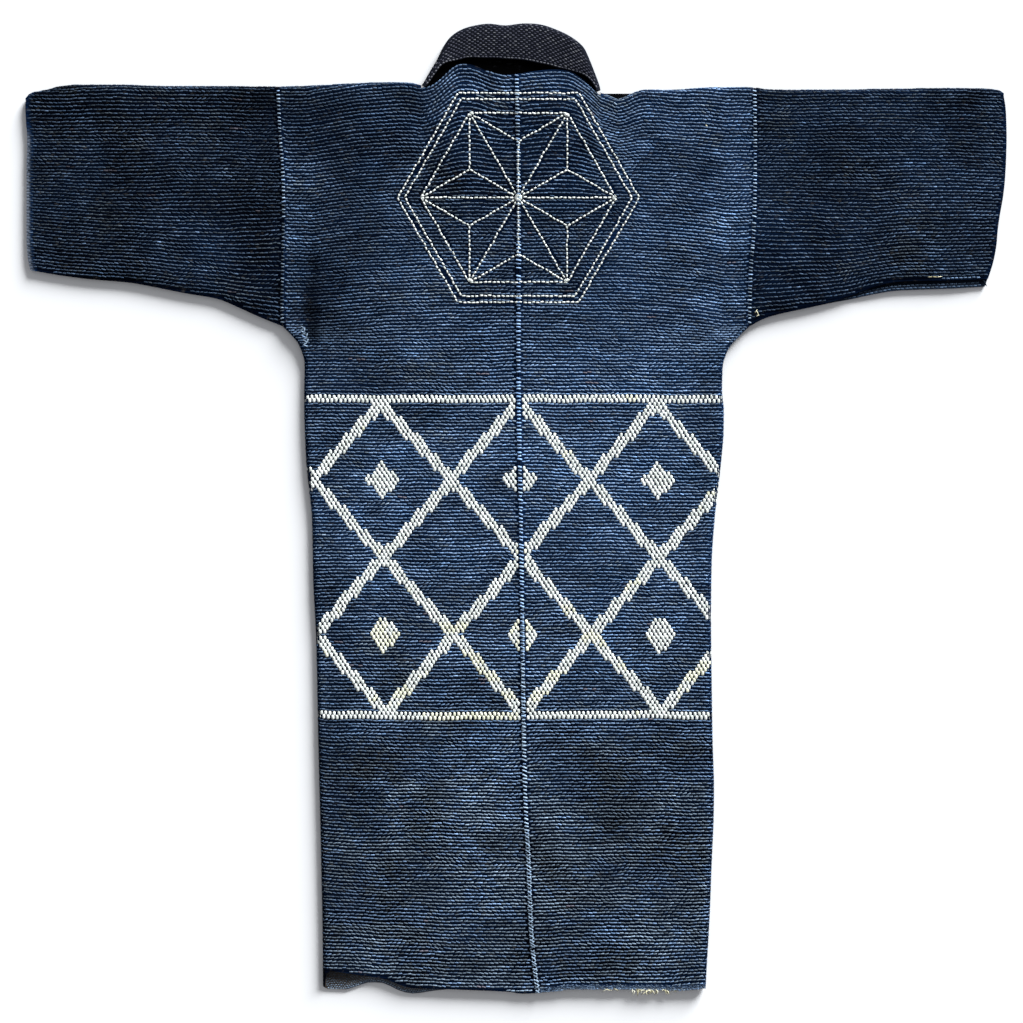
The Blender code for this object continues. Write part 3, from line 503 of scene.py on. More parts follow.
def collar_grid():
    """The middle of the collar's band: one row across it at each station, from hem to hem."""
    steps, turns, falls = 8, 8, 10
    heights = np.linspace(-600.0, 500.0, 132)

    def front(y, column):
        side = -1 if column == 1 else 1
        tilt = 12.0 * soft((y - 380) / 120)
        seam = curve(FRONT_EDGE, y + 0.9 * tilt, column) - side * SEAM_GAP / 2
        free = seam - side * COLLAR_BAND
        y_end = y if y > -598 else curve(HEM_FRONT, seam)
        f = np.arange(steps + 1) / steps
        row = np.full((steps + 1 + turns + falls, 3), np.nan)
        row[:steps + 1] = np.stack([free + (seam - free) * f, y_end - tilt * (1 - f) + tilt * f * 0.9,
                                    np.full(steps + 1, GROUND_MID)], axis=1)
        return row

    rows = [front(y, 1) for y in heights]
    for t in np.arange(0, len(COLLAR_BACK) - 0.999, 0.2):
        out_x, out_y, in_x, in_y, fall = (flow(COLLAR_BACK, t, c) for c in range(5))
        inward = np.array((in_x - out_x, in_y - out_y, 0.0))
        inward /= np.linalg.norm(inward)
        rise = (FALL_MID - GROUND_MID) / 2
        turn_at = np.array((out_x, out_y, 0.0)) + inward * (rise + CLOTH / 2)
        row = []
        start = np.array((in_x, in_y, 0.0))
        for k in range(steps + 1):
            p = start + (turn_at - start) * (k / steps)
            row.append((p[0], p[1], GROUND_MID))
        for step in range(1, turns + 1):
            turn = math.pi * step / turns
            p = turn_at - inward * rise * math.sin(turn)
            row.append((p[0], p[1], GROUND_MID + rise - rise * math.cos(turn)))
        flat = fall - (rise + CLOTH / 2)
        for share in np.arange(1, falls + 1) / falls:
            p = turn_at + inward * flat * share
            sink = (FALL_MID - FALL_EDGE_MID) * share ** 1.6 * float(soft(flat / 25.0))
            swell = 0.7 * math.sin(0.9 * t + 0.6) * math.sin(math.pi * min(1.0, share * 1.1)) * float(soft(flat / 25.0))
            row.append((p[0], p[1], FALL_MID - sink + 0.6 * swell))
        rows.append(np.array(row))
    rows += [front(y, 2) for y in heights[::-1]]
    rows = np.array(rows)
    is_back = ~np.isnan(rows[:, -1, 0])
    return rows, is_back, steps, turns, falls


# ---------------------------------------------------------------- meshes
def to_world(points):
    return (points - ORIGIN) * MM


def link(name, mesh):
    piece = bpy.data.objects.new(name, mesh)
    bpy.context.scene.collection.objects.link(piece)
    return piece


def cells_of(grid):
    """Which cells of a grid have all four corners."""
    has = ~np.isnan(grid[:, :, 0])
    return has[:-1, :-1] & has[:-1, 1:] & has[1:, :-1] & has[1:, 1:]


def grid_normals(grid, cells):
    """Unit normals at the grid's points, the same way out all over."""
    a, b, c, d = grid[:-1, :-1], grid[:-1, 1:], grid[1:, 1:], grid[1:, :-1]
    n = np.cross(c - a, d - b)
    n = np.where(cells[:, :, None], n, 0.0)
    n = np.nan_to_num(n)
    size = np.linalg.norm(n, axis=2, keepdims=True)
    n = n / np.where(size > 0, size, 1.0)
    total = np.zeros_like(grid)
    total[:-1, :-1] += n
    total[:-1, 1:] += n
    total[1:, 1:] += n
    total[1:, :-1] += n
    size = np.linalg.norm(total, axis=2, keepdims=True)
    return total / np.where(size > 0, size, 1.0)


def shell(name, grid, cells, normals, out_skin, in_skin, materials, fade_and_painted_light, quilt):
    """A closed wall of cloth about a grid. materials are the outside's and the inside's."""
    used = np.zeros(grid.shape[:2], bool)
    used[:-1, :-1] |= cells
    used[:-1, 1:] |= cells
    used[1:, :-1] |= cells
    used[1:, 1:] |= cells
    index = np.full(grid.shape[:2], -1)
    count = int(used.sum())
    index[used] = np.arange(count)
    mid, nor = grid[used], normals[used]
    outer = mid + nor * out_skin[used][:, None]
    inner = mid - nor * in_skin
    verts = to_world(np.concatenate([outer, inner]))
    i, j = np.nonzero(cells)
    a, b, c, d = index[i, j], index[i, j + 1], index[i + 1, j + 1], index[i + 1, j]
    faces = [np.stack([a, b, c, d], 1), np.stack([d, c, b, a], 1) + count]
    ring = [(a, b), (b, c), (c, d), (d, a)]
    edges = np.concatenate([np.stack(pair, 1) for pair in ring])
    code = edges[:, 0].astype(np.int64) * count + edges[:, 1]
    back = edges[:, 1].astype(np.int64) * count + edges[:, 0]
    rim = edges[~np.isin(code, back)]
    faces.append(np.stack([rim[:, 0] + count, rim[:, 1] + count, rim[:, 1], rim[:, 0]], 1))
    which = np.concatenate([np.zeros(len(a), int), np.ones(len(a), int), np.zeros(len(rim), int)])
    faces = np.concatenate(faces)

    mesh = bpy.data.meshes.new(name)
    mesh.vertices.add(len(verts))
    mesh.vertices.foreach_set("co", verts.ravel())
    mesh.loops.add(len(faces) * 4)
    mesh.loops.foreach_set("vertex_index", faces.ravel())
    mesh.polygons.add(len(faces))
    mesh.polygons.foreach_set("loop_start", np.arange(len(faces)) * 4)
    for material in materials:
        mesh.materials.append(material)
    mesh.polygons.foreach_set("material_index", which)
    mesh.update(calc_edges=True)
    mesh.shade_smooth()
    rows, columns = grid.shape[:2]
    ii, jj = np.nonzero(used)
    uv = np.stack([jj / (columns - 1) * 0.94, ii / (rows - 1)], 1)
    uv = np.concatenate([uv, np.stack([0.96 + 0.03 * jj / (columns - 1), ii / (rows - 1)], 1)])
    layer = mesh.uv_layers.new(name="OFBake")
    layer.data.foreach_set("uv", uv[faces.ravel()].ravel())
    for label, values in (("fade_and_painted_light", fade_and_painted_light), ("quilt", quilt)):
        attribute = mesh.attributes.new(label, "FLOAT", "POINT")
        attribute.data.foreach_set("value", np.concatenate([values[used]] * 2).astype(np.float32))
    # the volume tells which way the faces look
    mesh.calc_loop_triangles()
    corners = np.empty(len(mesh.loop_triangles) * 3, int)
    mesh.loop_triangles.foreach_get("vertices", corners)
    p = verts[corners.reshape(-1, 3)]
    if np.einsum("ij,ij->i", p[:, 0], np.cross(p[:, 1], p[:, 2])).sum() < 0:
        mesh.flip_normals()
    mesh.set_sharp_from_angle(angle=math.radians(60))
    return link(name, mesh)


THREAD = [(0, 2, 1), (0, 3, 2), (0, 1, 3), (1, 2, 5, 4), (2, 3, 6, 5), (3, 1, 4, 6), (7, 4, 5), (7, 5, 6), (7, 6, 4)]
SHORT_THREAD = [(0, 2, 1), (0, 3, 2), (0, 1, 3), (4, 1, 2), (4, 2, 3), (4, 3, 1)]
BROAD_THREAD = [(0, 1, 8), (1, 2, 8), (2, 9, 8), (2, 3, 9), (3, 4, 9), (4, 10, 9), (4, 5, 10), (5, 6, 10), (6, 11, 10),
                (6, 7, 11), (7, 0, 11), (0, 8, 11), (8, 9, 10, 11), (7, 6, 1, 0), (6, 5, 2, 1), (5, 4, 3, 2)]


def thread_mesh(name, verts, shade, materials, faces=THREAD):
    """One mesh of many small closed threads: verts is (threads, points, 3), shade a material each."""
    count, points = verts.shape[:2]
    verts = np.maximum(verts, (-1e6, -1e6, 0.02))     # those underneath rest on the ground
    loops = np.concatenate([np.array(f) for f in faces])
    sizes = np.array([len(f) for f in faces])
    mesh = bpy.data.meshes.new(name)
    mesh.vertices.add(count * points)
    mesh.vertices.foreach_set("co", to_world(verts.reshape(-1, 3)).ravel())
    every = (loops[None, :] + np.arange(count)[:, None] * points).ravel()
    mesh.loops.add(len(every))
    mesh.loops.foreach_set("vertex_index", every)
    mesh.polygons.add(count * len(faces))
    starts = np.concatenate([[0], np.cumsum(sizes)[:-1]])
    mesh.polygons.foreach_set("loop_start", (starts[None, :] + np.arange(count)[:, None] * len(loops)).ravel())
    for material in materials:
        mesh.materials.append(material)
    mesh.polygons.foreach_set("material_index", np.repeat(shade.astype(int), len(faces)))
    mesh.update(calc_edges=True)
    mesh.shade_smooth()
    return link(name, mesh)


def unit(v):
    return v / np.maximum(np.linalg.norm(v, axis=-1, keepdims=True), 1e-9)


def threads(points, normals, width, height, sink=0.12):
    """Thread bodies through four points each: (threads, 4, 3) points and normals."""
    along = unit(points[:, 3] - points[:, 0])
    out = np.empty((len(points), 8, 3))
    out[:, 0] = points[:, 0] - normals[:, 0] * sink
    out[:, 7] = points[:, 3] - normals[:, 3] * sink
    for ring, k in ((1, 1), (4, 2)):
        n = normals[:, k]
        across = unit(np.cross(n, along))
        half = across * (width / 2)[:, None]
        out[:, ring] = points[:, k] + half - n * sink
        out[:, ring + 1] = points[:, k] - half - n * sink
        out[:, ring + 2] = points[:, k] + n * height[:, None]
    return out


def broad_threads(points, normals, width, height, sink=0.15):
    """Thick soft ones like small pads, widest in the middle, so that they close up with the rows
    beside them and leave only a dark dot at each end: (threads, 4, 3) points and normals."""
    centre, n = (points[:, 1] + points[:, 2]) / 2, unit(normals[:, 1] + normals[:, 2])
    along = points[:, 3] - points[:, 0]
    across = unit(np.cross(n, along)) * (width / 2)[:, None]
    out = np.empty((len(points), 12, 3))
    for k, (u, v, w) in enumerate(((-0.5, 0, 0), (-0.42, -0.98, 0.45), (0, -1.38, 0.7), (0.42, -0.98, 0.45),
                                   (0.5, 0, 0), (0.42, 0.98, 0.45), (0, 1.38, 0.7), (-0.42, 0.98, 0.45),
                                   (-0.38, -0.62, 1), (0.38, -0.62, 1), (0.38, 0.62, 1), (-0.38, 0.62, 1))):
        out[:, k] = centre + along * u + across * v + n * (w * (height + sink) - sink)[:, None]
    return out


def short_threads(points, normals, width, height, sink=0.12):
    """Plainer ones for hidden faces: (threads, 3, 3) points, with one ring in the middle."""
    along = unit(points[:, 2] - points[:, 0])
    out = np.empty((len(points), 5, 3))
    out[:, 0] = points[:, 0] - normals[:, 0] * sink
    out[:, 4] = points[:, 2] - normals[:, 2] * sink
    n = normals[:, 1]
    half = unit(np.cross(n, along)) * (width / 2)[:, None]
    out[:, 1] = points[:, 1] + half - n * sink
    out[:, 2] = points[:, 1] - half - n * sink
    out[:, 3] = points[:, 1] + n * height[:, None]
    return out


# ---------------------------------------------------------------- materials
def nodes_of(name):
    material = bpy.data.materials.new(name)
    material.use_nodes = True
    tree = material.node_tree
    return material, tree, tree.nodes["Principled BSDF"]


def thread_material(name, colour, shine=0.015):
    """Soft cotton thread: its fibres make it rough and uneven."""
    material, tree, shader = nodes_of(name)
    new, join = tree.nodes.new, tree.links.new
    shader.inputs["Base Color"].default_value = (*colour, 1)
    shader.inputs["Specular IOR Level"].default_value = shine
    place = new("ShaderNodeTexCoord").outputs["Object"]
    fibres = new("ShaderNodeTexNoise")
    fibres.inputs["Scale"].default_value = 1500
    fibres.inputs["Detail"].default_value = 1
    join(place, fibres.inputs["Vector"])
    rough = new("ShaderNodeMapRange")
    rough.inputs["To Min"].default_value = 0.7
    rough.inputs["To Max"].default_value = 1.0
    join(fibres.outputs["Fac"], rough.inputs["Value"])
    join(rough.outputs["Result"], shader.inputs["Roughness"])
    bump = new("ShaderNodeBump")
    bump.inputs["Distance"].default_value = 0.0004
    bump.inputs["Strength"].default_value = 0.6
    join(fibres.outputs["Fac"], bump.inputs["Height"])
    join(bump.outputs["Normal"], shader.inputs["Normal"])
    material.diffuse_color = (*colour, 1)
    return material


def cloth_material(name, dark, pale, ribs=0.35, worn=(0.10, 0.09, 0.075), wear=0.35):
    """Cotton cloth: darker and paler indigo in soft blotches, worn spots, a fine weave, and the
    puffs between rows of quilting."""
    material, tree, shader = nodes_of(name)
    new, join = tree.nodes.new, tree.links.new
    place = new("ShaderNodeTexCoord").outputs["Object"]

    def noise(scale, detail, rough=0.55, stretch=(1, 1, 1)):
        mapping = new("ShaderNodeMapping")
        mapping.inputs["Scale"].default_value = stretch
        join(place, mapping.inputs["Vector"])
        node = new("ShaderNodeTexNoise")
        node.inputs["Scale"].default_value = scale
        node.inputs["Detail"].default_value = detail
        node.inputs["Roughness"].default_value = rough
        join(mapping.outputs["Vector"], node.inputs["Vector"])
        return node.outputs["Fac"]

    def math_node(kind, a, b=None, clamp=False):
        node = new("ShaderNodeMath")
        node.operation = kind
        node.use_clamp = clamp
        for socket, value in zip(node.inputs, (a, b)):
            if value is None:
                continue
            if isinstance(value, (int, float)):
                socket.default_value = value
            else:
                join(value, socket)
        return node.outputs[0]

    fade_and_painted_light = new("ShaderNodeAttribute")
    fade_and_painted_light.attribute_name = "fade_and_painted_light"
    quilt = new("ShaderNodeAttribute")
    quilt.attribute_name = "quilt"
    blotch = math_node("MULTIPLY_ADD", noise(11, 4), 1.1)
    blotch.node.inputs[2].default_value = -0.55
    level = math_node("ADD", fade_and_painted_light.outputs["Fac"], blotch, clamp=True)
    ramp = new("ShaderNodeMix")
    ramp.data_type = "RGBA"
    ramp.inputs["A"].default_value = (*dark, 1)
    ramp.inputs["B"].default_value = (*pale, 1)
    join(level, ramp.inputs["Factor"])
    specks = math_node("MULTIPLY", math_node("SUBTRACT", noise(240, 3, 0.6, (0.5, 1, 1)), 0.60, clamp=True), wear * 6, clamp=True)
    worn_mix = new("ShaderNodeMix")
    worn_mix.data_type = "RGBA"
    join(specks, worn_mix.inputs["Factor"])
    join(ramp.outputs["Result"], worn_mix.inputs["A"])
    worn_mix.inputs["B"].default_value = (*worn, 1)
    # a tone from 1 to 2 is plain cloth faded to a stronger blue, one from 2 to 3 worn pale along an edge
    result = worn_mix.outputs["Result"]
    mottle = math_node("MULTIPLY", math_node("SUBTRACT", noise(520, 3), 0.12), 1.9)
    for start, colour in ((1.0, (0.026, 0.042, 0.074, 1)), (2.0, (0.150, 0.172, 0.210, 1))):
        beyond = math_node("SUBTRACT", fade_and_painted_light.outputs["Fac"], start, clamp=True)
        edge_mix = new("ShaderNodeMix")
        edge_mix.data_type = "RGBA"
        join(math_node("MULTIPLY", beyond, mottle, clamp=True), edge_mix.inputs["Factor"])
        join(result, edge_mix.inputs["A"])
        edge_mix.inputs["B"].default_value = colour
        result = edge_mix.outputs["Result"]
    join(result, shader.inputs["Base Color"])
    roughness = math_node("MULTIPLY_ADD", noise(60, 3), 0.2)
    roughness.node.inputs[2].default_value = 0.78
    join(roughness, shader.inputs["Roughness"])
    shader.inputs["Specular IOR Level"].default_value = 0.01

    puff = math_node("ABSOLUTE", math_node("SINE", math_node("MULTIPLY", quilt.outputs["Fac"], math.pi)))
    weave = math_node("ADD", noise(900, 2), noise(260, 2, 0.5, (1, 2.2, 1)))
    height = math_node("ADD", math_node("MULTIPLY", puff, ribs), math_node("MULTIPLY", weave, 0.22))
    bump = new("ShaderNodeBump")
    bump.inputs["Distance"].default_value = 0.0012
    bump.inputs["Strength"].default_value = 0.9
    join(height, bump.inputs["Height"])
    join(bump.outputs["Normal"], shader.inputs["Normal"])
    material.diffuse_color = (*pale, 1)
    return material


indigo = cloth_material("indigo_cloth", (0.0004, 0.0010, 0.0033), (0.0034, 0.0128, 0.0410))
indigo_inside = cloth_material("indigo_inside", (0.002, 0.004, 0.009), (0.008, 0.013, 0.024), ribs=0.1)
lining = cloth_material("brown_lining", (0.016, 0.012, 0.010), (0.090, 0.076, 0.066), ribs=0.15,
                        worn=(0.12, 0.11, 0.10))
# the black cloth's darkest colour is painted shade where the collar's stand lies under the fall
black = cloth_material("black_cloth", (0.0005, 0.0005, 0.0007), (0.0085, 0.0098, 0.0150), ribs=0.2,
                       worn=(0.035, 0.037, 0.045), wear=0.2)

# Threads from dark to bright, in dyes from blue to grey and a rusty one, then the white ones
LEVELS = [0.016, 0.025, 0.037, 0.053, 0.073, 0.099, 0.133, 0.178, 0.238, 0.32, 0.42]
DYES = {"blue": (0.61, 1.02, 1.72), "slate": (0.67, 1.02, 1.60), "grey": (0.76, 1.02, 1.34)}
shades = [thread_material(f"{dye}_thread_{k}", [min(0.9, c * v) for c in tint])
          for dye, tint in DYES.items() for k, v in enumerate(LEVELS)]
shades += [thread_material(f"rusty_thread_{k}", (1.02 * v, v, 1.25 * v)) for k, v in enumerate(LEVELS[:7])]
whites = [thread_material("white_thread_0", (0.56, 0.595, 0.565)), thread_material("white_thread_1", (0.65, 0.685, 0.66)),
          thread_material("white_thread_2", (0.73, 0.765, 0.745)), thread_material("white_thread_3", (0.62, 0.63, 0.49)),
          thread_material("white_thread_4", (0.73, 0.74, 0.60))]
frayed = [thread_material("frayed_thread_0", (0.38, 0.35, 0.22)), thread_material("frayed_thread_1", (0.72, 0.68, 0.48)),
          thread_material("frayed_thread_2", (0.88, 0.86, 0.70))]
collar_threads = [thread_material("collar_thread_0", (0.042, 0.043, 0.060)), thread_material("collar_thread_1", (0.062, 0.064, 0.084)),
                  thread_material("collar_thread_2", (0.110, 0.113, 0.130))]


def shade_of(level, greyness, warm=0.0):
    """Index into shades for a brightness and a 0 to 1 greyness; warm above 3 turns some rusty."""
    k = np.clip(np.searchsorted(np.array(LEVELS), level * rng.uniform(0.82, 1.0, np.shape(level))), 0, len(LEVELS) - 1)
    dye = np.clip(np.rint(2 * greyness + rng.normal(0, 0.25, np.shape(level))), 0, 2).astype(int)
    rusty = (warm > 3.0) & (rng.random(np.shape(level)) < 0.7)
    return np.where(rusty, 3 * len(LEVELS) + np.minimum(k, 6), k + dye * len(LEVELS))


MOTIF_X, MOTIF_Y = 3.5, 390.0
LATTICE_NOISE = np.random.default_rng(41).normal(0, 1, (9, 64, 64))


def patches(x, y, wide, tall, which):
    """Smooth unevenness of about unit height, in patches wide by tall millimetres."""
    u, v = np.nan_to_num(x) / wide + 31.0 + 7.3 * which, np.nan_to_num(y) / tall + 17.0 + 3.1 * which
    i, j = np.floor(u).astype(int), np.floor(v).astype(int)
    f, g = soft(u - i), soft(v - j)
    table = LATTICE_NOISE[which % 9]
    a, b = table[i % 64, j % 64], table[(i + 1) % 64, j % 64]
    c, d = table[i % 64, (j + 1) % 64], table[(i + 1) % 64, (j + 1) % 64]
    return 1.35 * ((a * (1 - f) + b * f) * (1 - g) + (c * (1 - f) + d * f) * g)


def in_motif(x, y):
    """1 inside the motif's inner hexagon, 0 outside."""
    u, v = np.abs(x - MOTIF_X), np.abs(y - MOTIF_Y)
    return soft((141.0 - np.maximum(v / math.cos(math.pi / 6), u + v * math.tan(math.pi / 6))) / 6.0)


def fade_and_painted_light_at(x, y, base):
    level = np.full(np.broadcast(x, y).shape, float(base))
    level = level * np.exp(0.13 * patches(x, y, 62, 38, 0) + 0.13 * patches(x, y, 24, 12, 1)
                           + 0.08 * patches(x, y, 34, 4.2, 2) + 0.05 * patches(x, y, 140, 90, 3))
    level = level * (1 - (0.20 + 0.14 * soft((x + 40.0) / 80.0)) * in_motif(x, y))
    for mx, my, rx, ry, gain in FADES_AND_PAINTED_LIGHT:
        level = level * np.exp(math.log(gain) * np.exp(-((x - mx) / rx) ** 2 - ((y - my) / ry) ** 2))
    return level


# ---------------------------------------------------------------- rows of quilting
def lay_rows(grid, skin, normals, reach, targets, margins, start_s):
    """Follows each row across a panel. reach is each grid point's length along its column and
    targets (rows, columns) where each row crosses the columns. Yields a row's points, normals
    and lengths for every unbroken stretch."""
    surface = grid + normals * skin[:, :, None]
    rows, columns = reach.shape
    crossing = np.full(targets.shape, np.nan)
    for j in range(columns):
        ok = ~np.isnan(reach[:, j])
        crossing[:, j] = np.interp(targets[:, j], reach[ok, j], np.nonzero(ok)[0],
                                   left=np.nan, right=np.nan)
    j = np.arange(columns)
    for k in range(len(targets)):
        at = crossing[k]
        good = ~np.isnan(at)
        if good.sum() < 2:
            continue
        i0 = np.clip(np.nan_to_num(at).astype(int), 0, rows - 2)
        f = (np.nan_to_num(at) - i0)[:, None]
        p = surface[i0, j] * (1 - f) + surface[i0 + 1, j] * f
        n = unit(np.nan_to_num(normals[i0, j] * (1 - f) + normals[i0 + 1, j] * f))
        good &= ~np.isnan(p[:, 0])
        edges = np.flatnonzero(np.diff(np.concatenate([[0], good.astype(int), [0]])))
        for a, b in zip(edges[::2], edges[1::2]):
            if b - a < 3:
                continue
            step = np.linalg.norm(np.diff(p[a:b], axis=0), axis=1)
            s = start_s(p[a]) + np.concatenate([[0], np.cumsum(step)])
            yield k, p[a:b], n[a:b], s, margins


def stitch_rows(rows_of, spots):
    """Places stitches along rows. spots is how many points each has, as fractions of its length."""
    found = {"p": [], "n": [], "s": [], "row": [], "len": []}
    drift = 0.0
    for k, p, n, s, (first, last) in rows_of:
        drift = 0.9 * drift + rng.normal(0, 0.22)
        lo, hi = s[0] + first, s[-1] - last
        start = math.ceil((lo - drift) / STITCH_PITCH - 0.5 * (k % 2)) + 0.5 * (k % 2)
        at = np.arange(start * STITCH_PITCH + drift, hi, STITCH_PITCH)
        at = at[(at > lo) & (at < hi)]
        if not len(at):
            continue
        at = at + rng.normal(0, 0.22, len(at))
        length = STITCH_PITCH * np.clip(rng.normal(1.03, 0.06, len(at)), 0.80, 1.14)
        where = at[:, None] + length[:, None] * spots[None, :]
        where = np.clip(where, s[0] + 0.3, s[-1] - 0.3)
        places = np.stack([np.interp(where, s, p[:, c]) for c in range(3)], axis=2)
        outward = unit(np.stack([np.interp(where, s, n[:, c]) for c in range(3)], axis=2))
        sideways = unit(np.cross(outward[:, 0], unit(places[:, -1] - places[:, 0])))
        lean = rng.normal(0, 0.42, len(at)) + 0.62 * patches(at, np.full(len(at), 4.2 * k), 26, 9, 8)
        sway = rng.normal(0, 0.24, len(at))[:, None] + lean[:, None] * spots[None, :]
        found["p"].append(places + sideways[:, None] * sway[:, :, None])
        found["n"].append(outward)
        found["s"].append(at)
        found["row"].append(np.full(len(at), k))
        found["len"].append(length)
    return {key: np.concatenate(value) for key, value in found.items()}


def take(found, mask):
    return {key: value[mask] for key, value in found.items()}


FOUR = np.array([-0.5, -0.40, 0.40, 0.5])
THREE = np.array([-0.5, 0.0, 0.5])


# A lattice of large diamonds, two deep, between two lines, in thick white thread
LATTICE_LOW, LATTICE_HIGH = -253.0, 134.0
DIAMOND_W, DIAMOND_H = 172.0, (LATTICE_HIGH - LATTICE_LOW) / 2


def in_lattice(s, y):
    """Whether a stitch at s from the centre seam, at height y, is a white one."""
    u, v = s / (DIAMOND_W / 2), (y - LATTICE_LOW) / (DIAMOND_H / 2)
    scale = 1 / math.hypot(2 / DIAMOND_W, 2 / DIAMOND_H)
    inside = (y > LATTICE_LOW) & (y < LATTICE_HIGH)

    def near(t):
        return np.abs(t - 2 * np.round(t / 2)) * scale

    lines = (near(u + v) < 6.6) | (near(u - v) < 6.6)
    # a small filled diamond in the middle of each large one
    du = np.abs(u - 2 * np.round(u / 2))
    dv = np.abs((v - 1) - 2 * np.round((v - 1) / 2))
    small = du + dv < 0.25
    rails = (np.abs(y - (LATTICE_HIGH + 4.5)) < 4.4) | (np.abs(y - (LATTICE_LOW - 4.5)) < 4.4)
    return (inside & (lines | small)) | rails


# The motif on the upper back: a double hexagon with a hemp leaf in it, in white running stitch
def motif_lines():
    def corner(r, k):
        a = math.radians(60 * k)
        return MOTIF_X + r * math.cos(a), MOTIF_Y + r * math.sin(a)

    lines = []
    for r in (151.0, 142.0, 122.0):
        lines += [(corner(r, k), corner(r, k + 1)) for k in range(6)]
    for k in range(6):
        middle = (MOTIF_X, MOTIF_Y)
        a, b = corner(122.0, k), corner(122.0, k + 1)
        centroid = ((middle[0] + a[0] + b[0]) / 3, (middle[1] + a[1] + b[1]) / 3)
        lines.append((middle, a))
        lines += [(centroid, q) for q in (middle, a, b)]
    return lines


MOTIF = motif_lines()


def from_motif(x, y):
    """Distance to the motif's nearest line."""
    best = np.full(np.shape(x), 1e9)
    for (x0, y0), (x1, y1) in MOTIF:
        dx, dy = x1 - x0, y1 - y0
        t = np.clip(((x - x0) * dx + (y - y0) * dy) / (dx * dx + dy * dy), 0, 1)
        best = np.minimum(best, np.hypot(x - x0 - t * dx, y - y0 - t * dy))
    return best


def column_reach(surface, ref_row, ref):
    """Length along each column, counted from ref on a row that all columns have."""
    step = np.linalg.norm(np.diff(surface, axis=0), axis=2)
    total = np.concatenate([np.zeros((1, surface.shape[1])), np.nancumsum(step, axis=0)])
    total = total - total[ref_row] + ref
    return np.where(np.isnan(surface[:, :, 0]), np.nan, total)


pieces = []
seam_lines = {}


def finish_piece(piece, node=None):
    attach(piece, "root")
    if node:
        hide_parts(node)
    pieces.append(piece)
    return piece


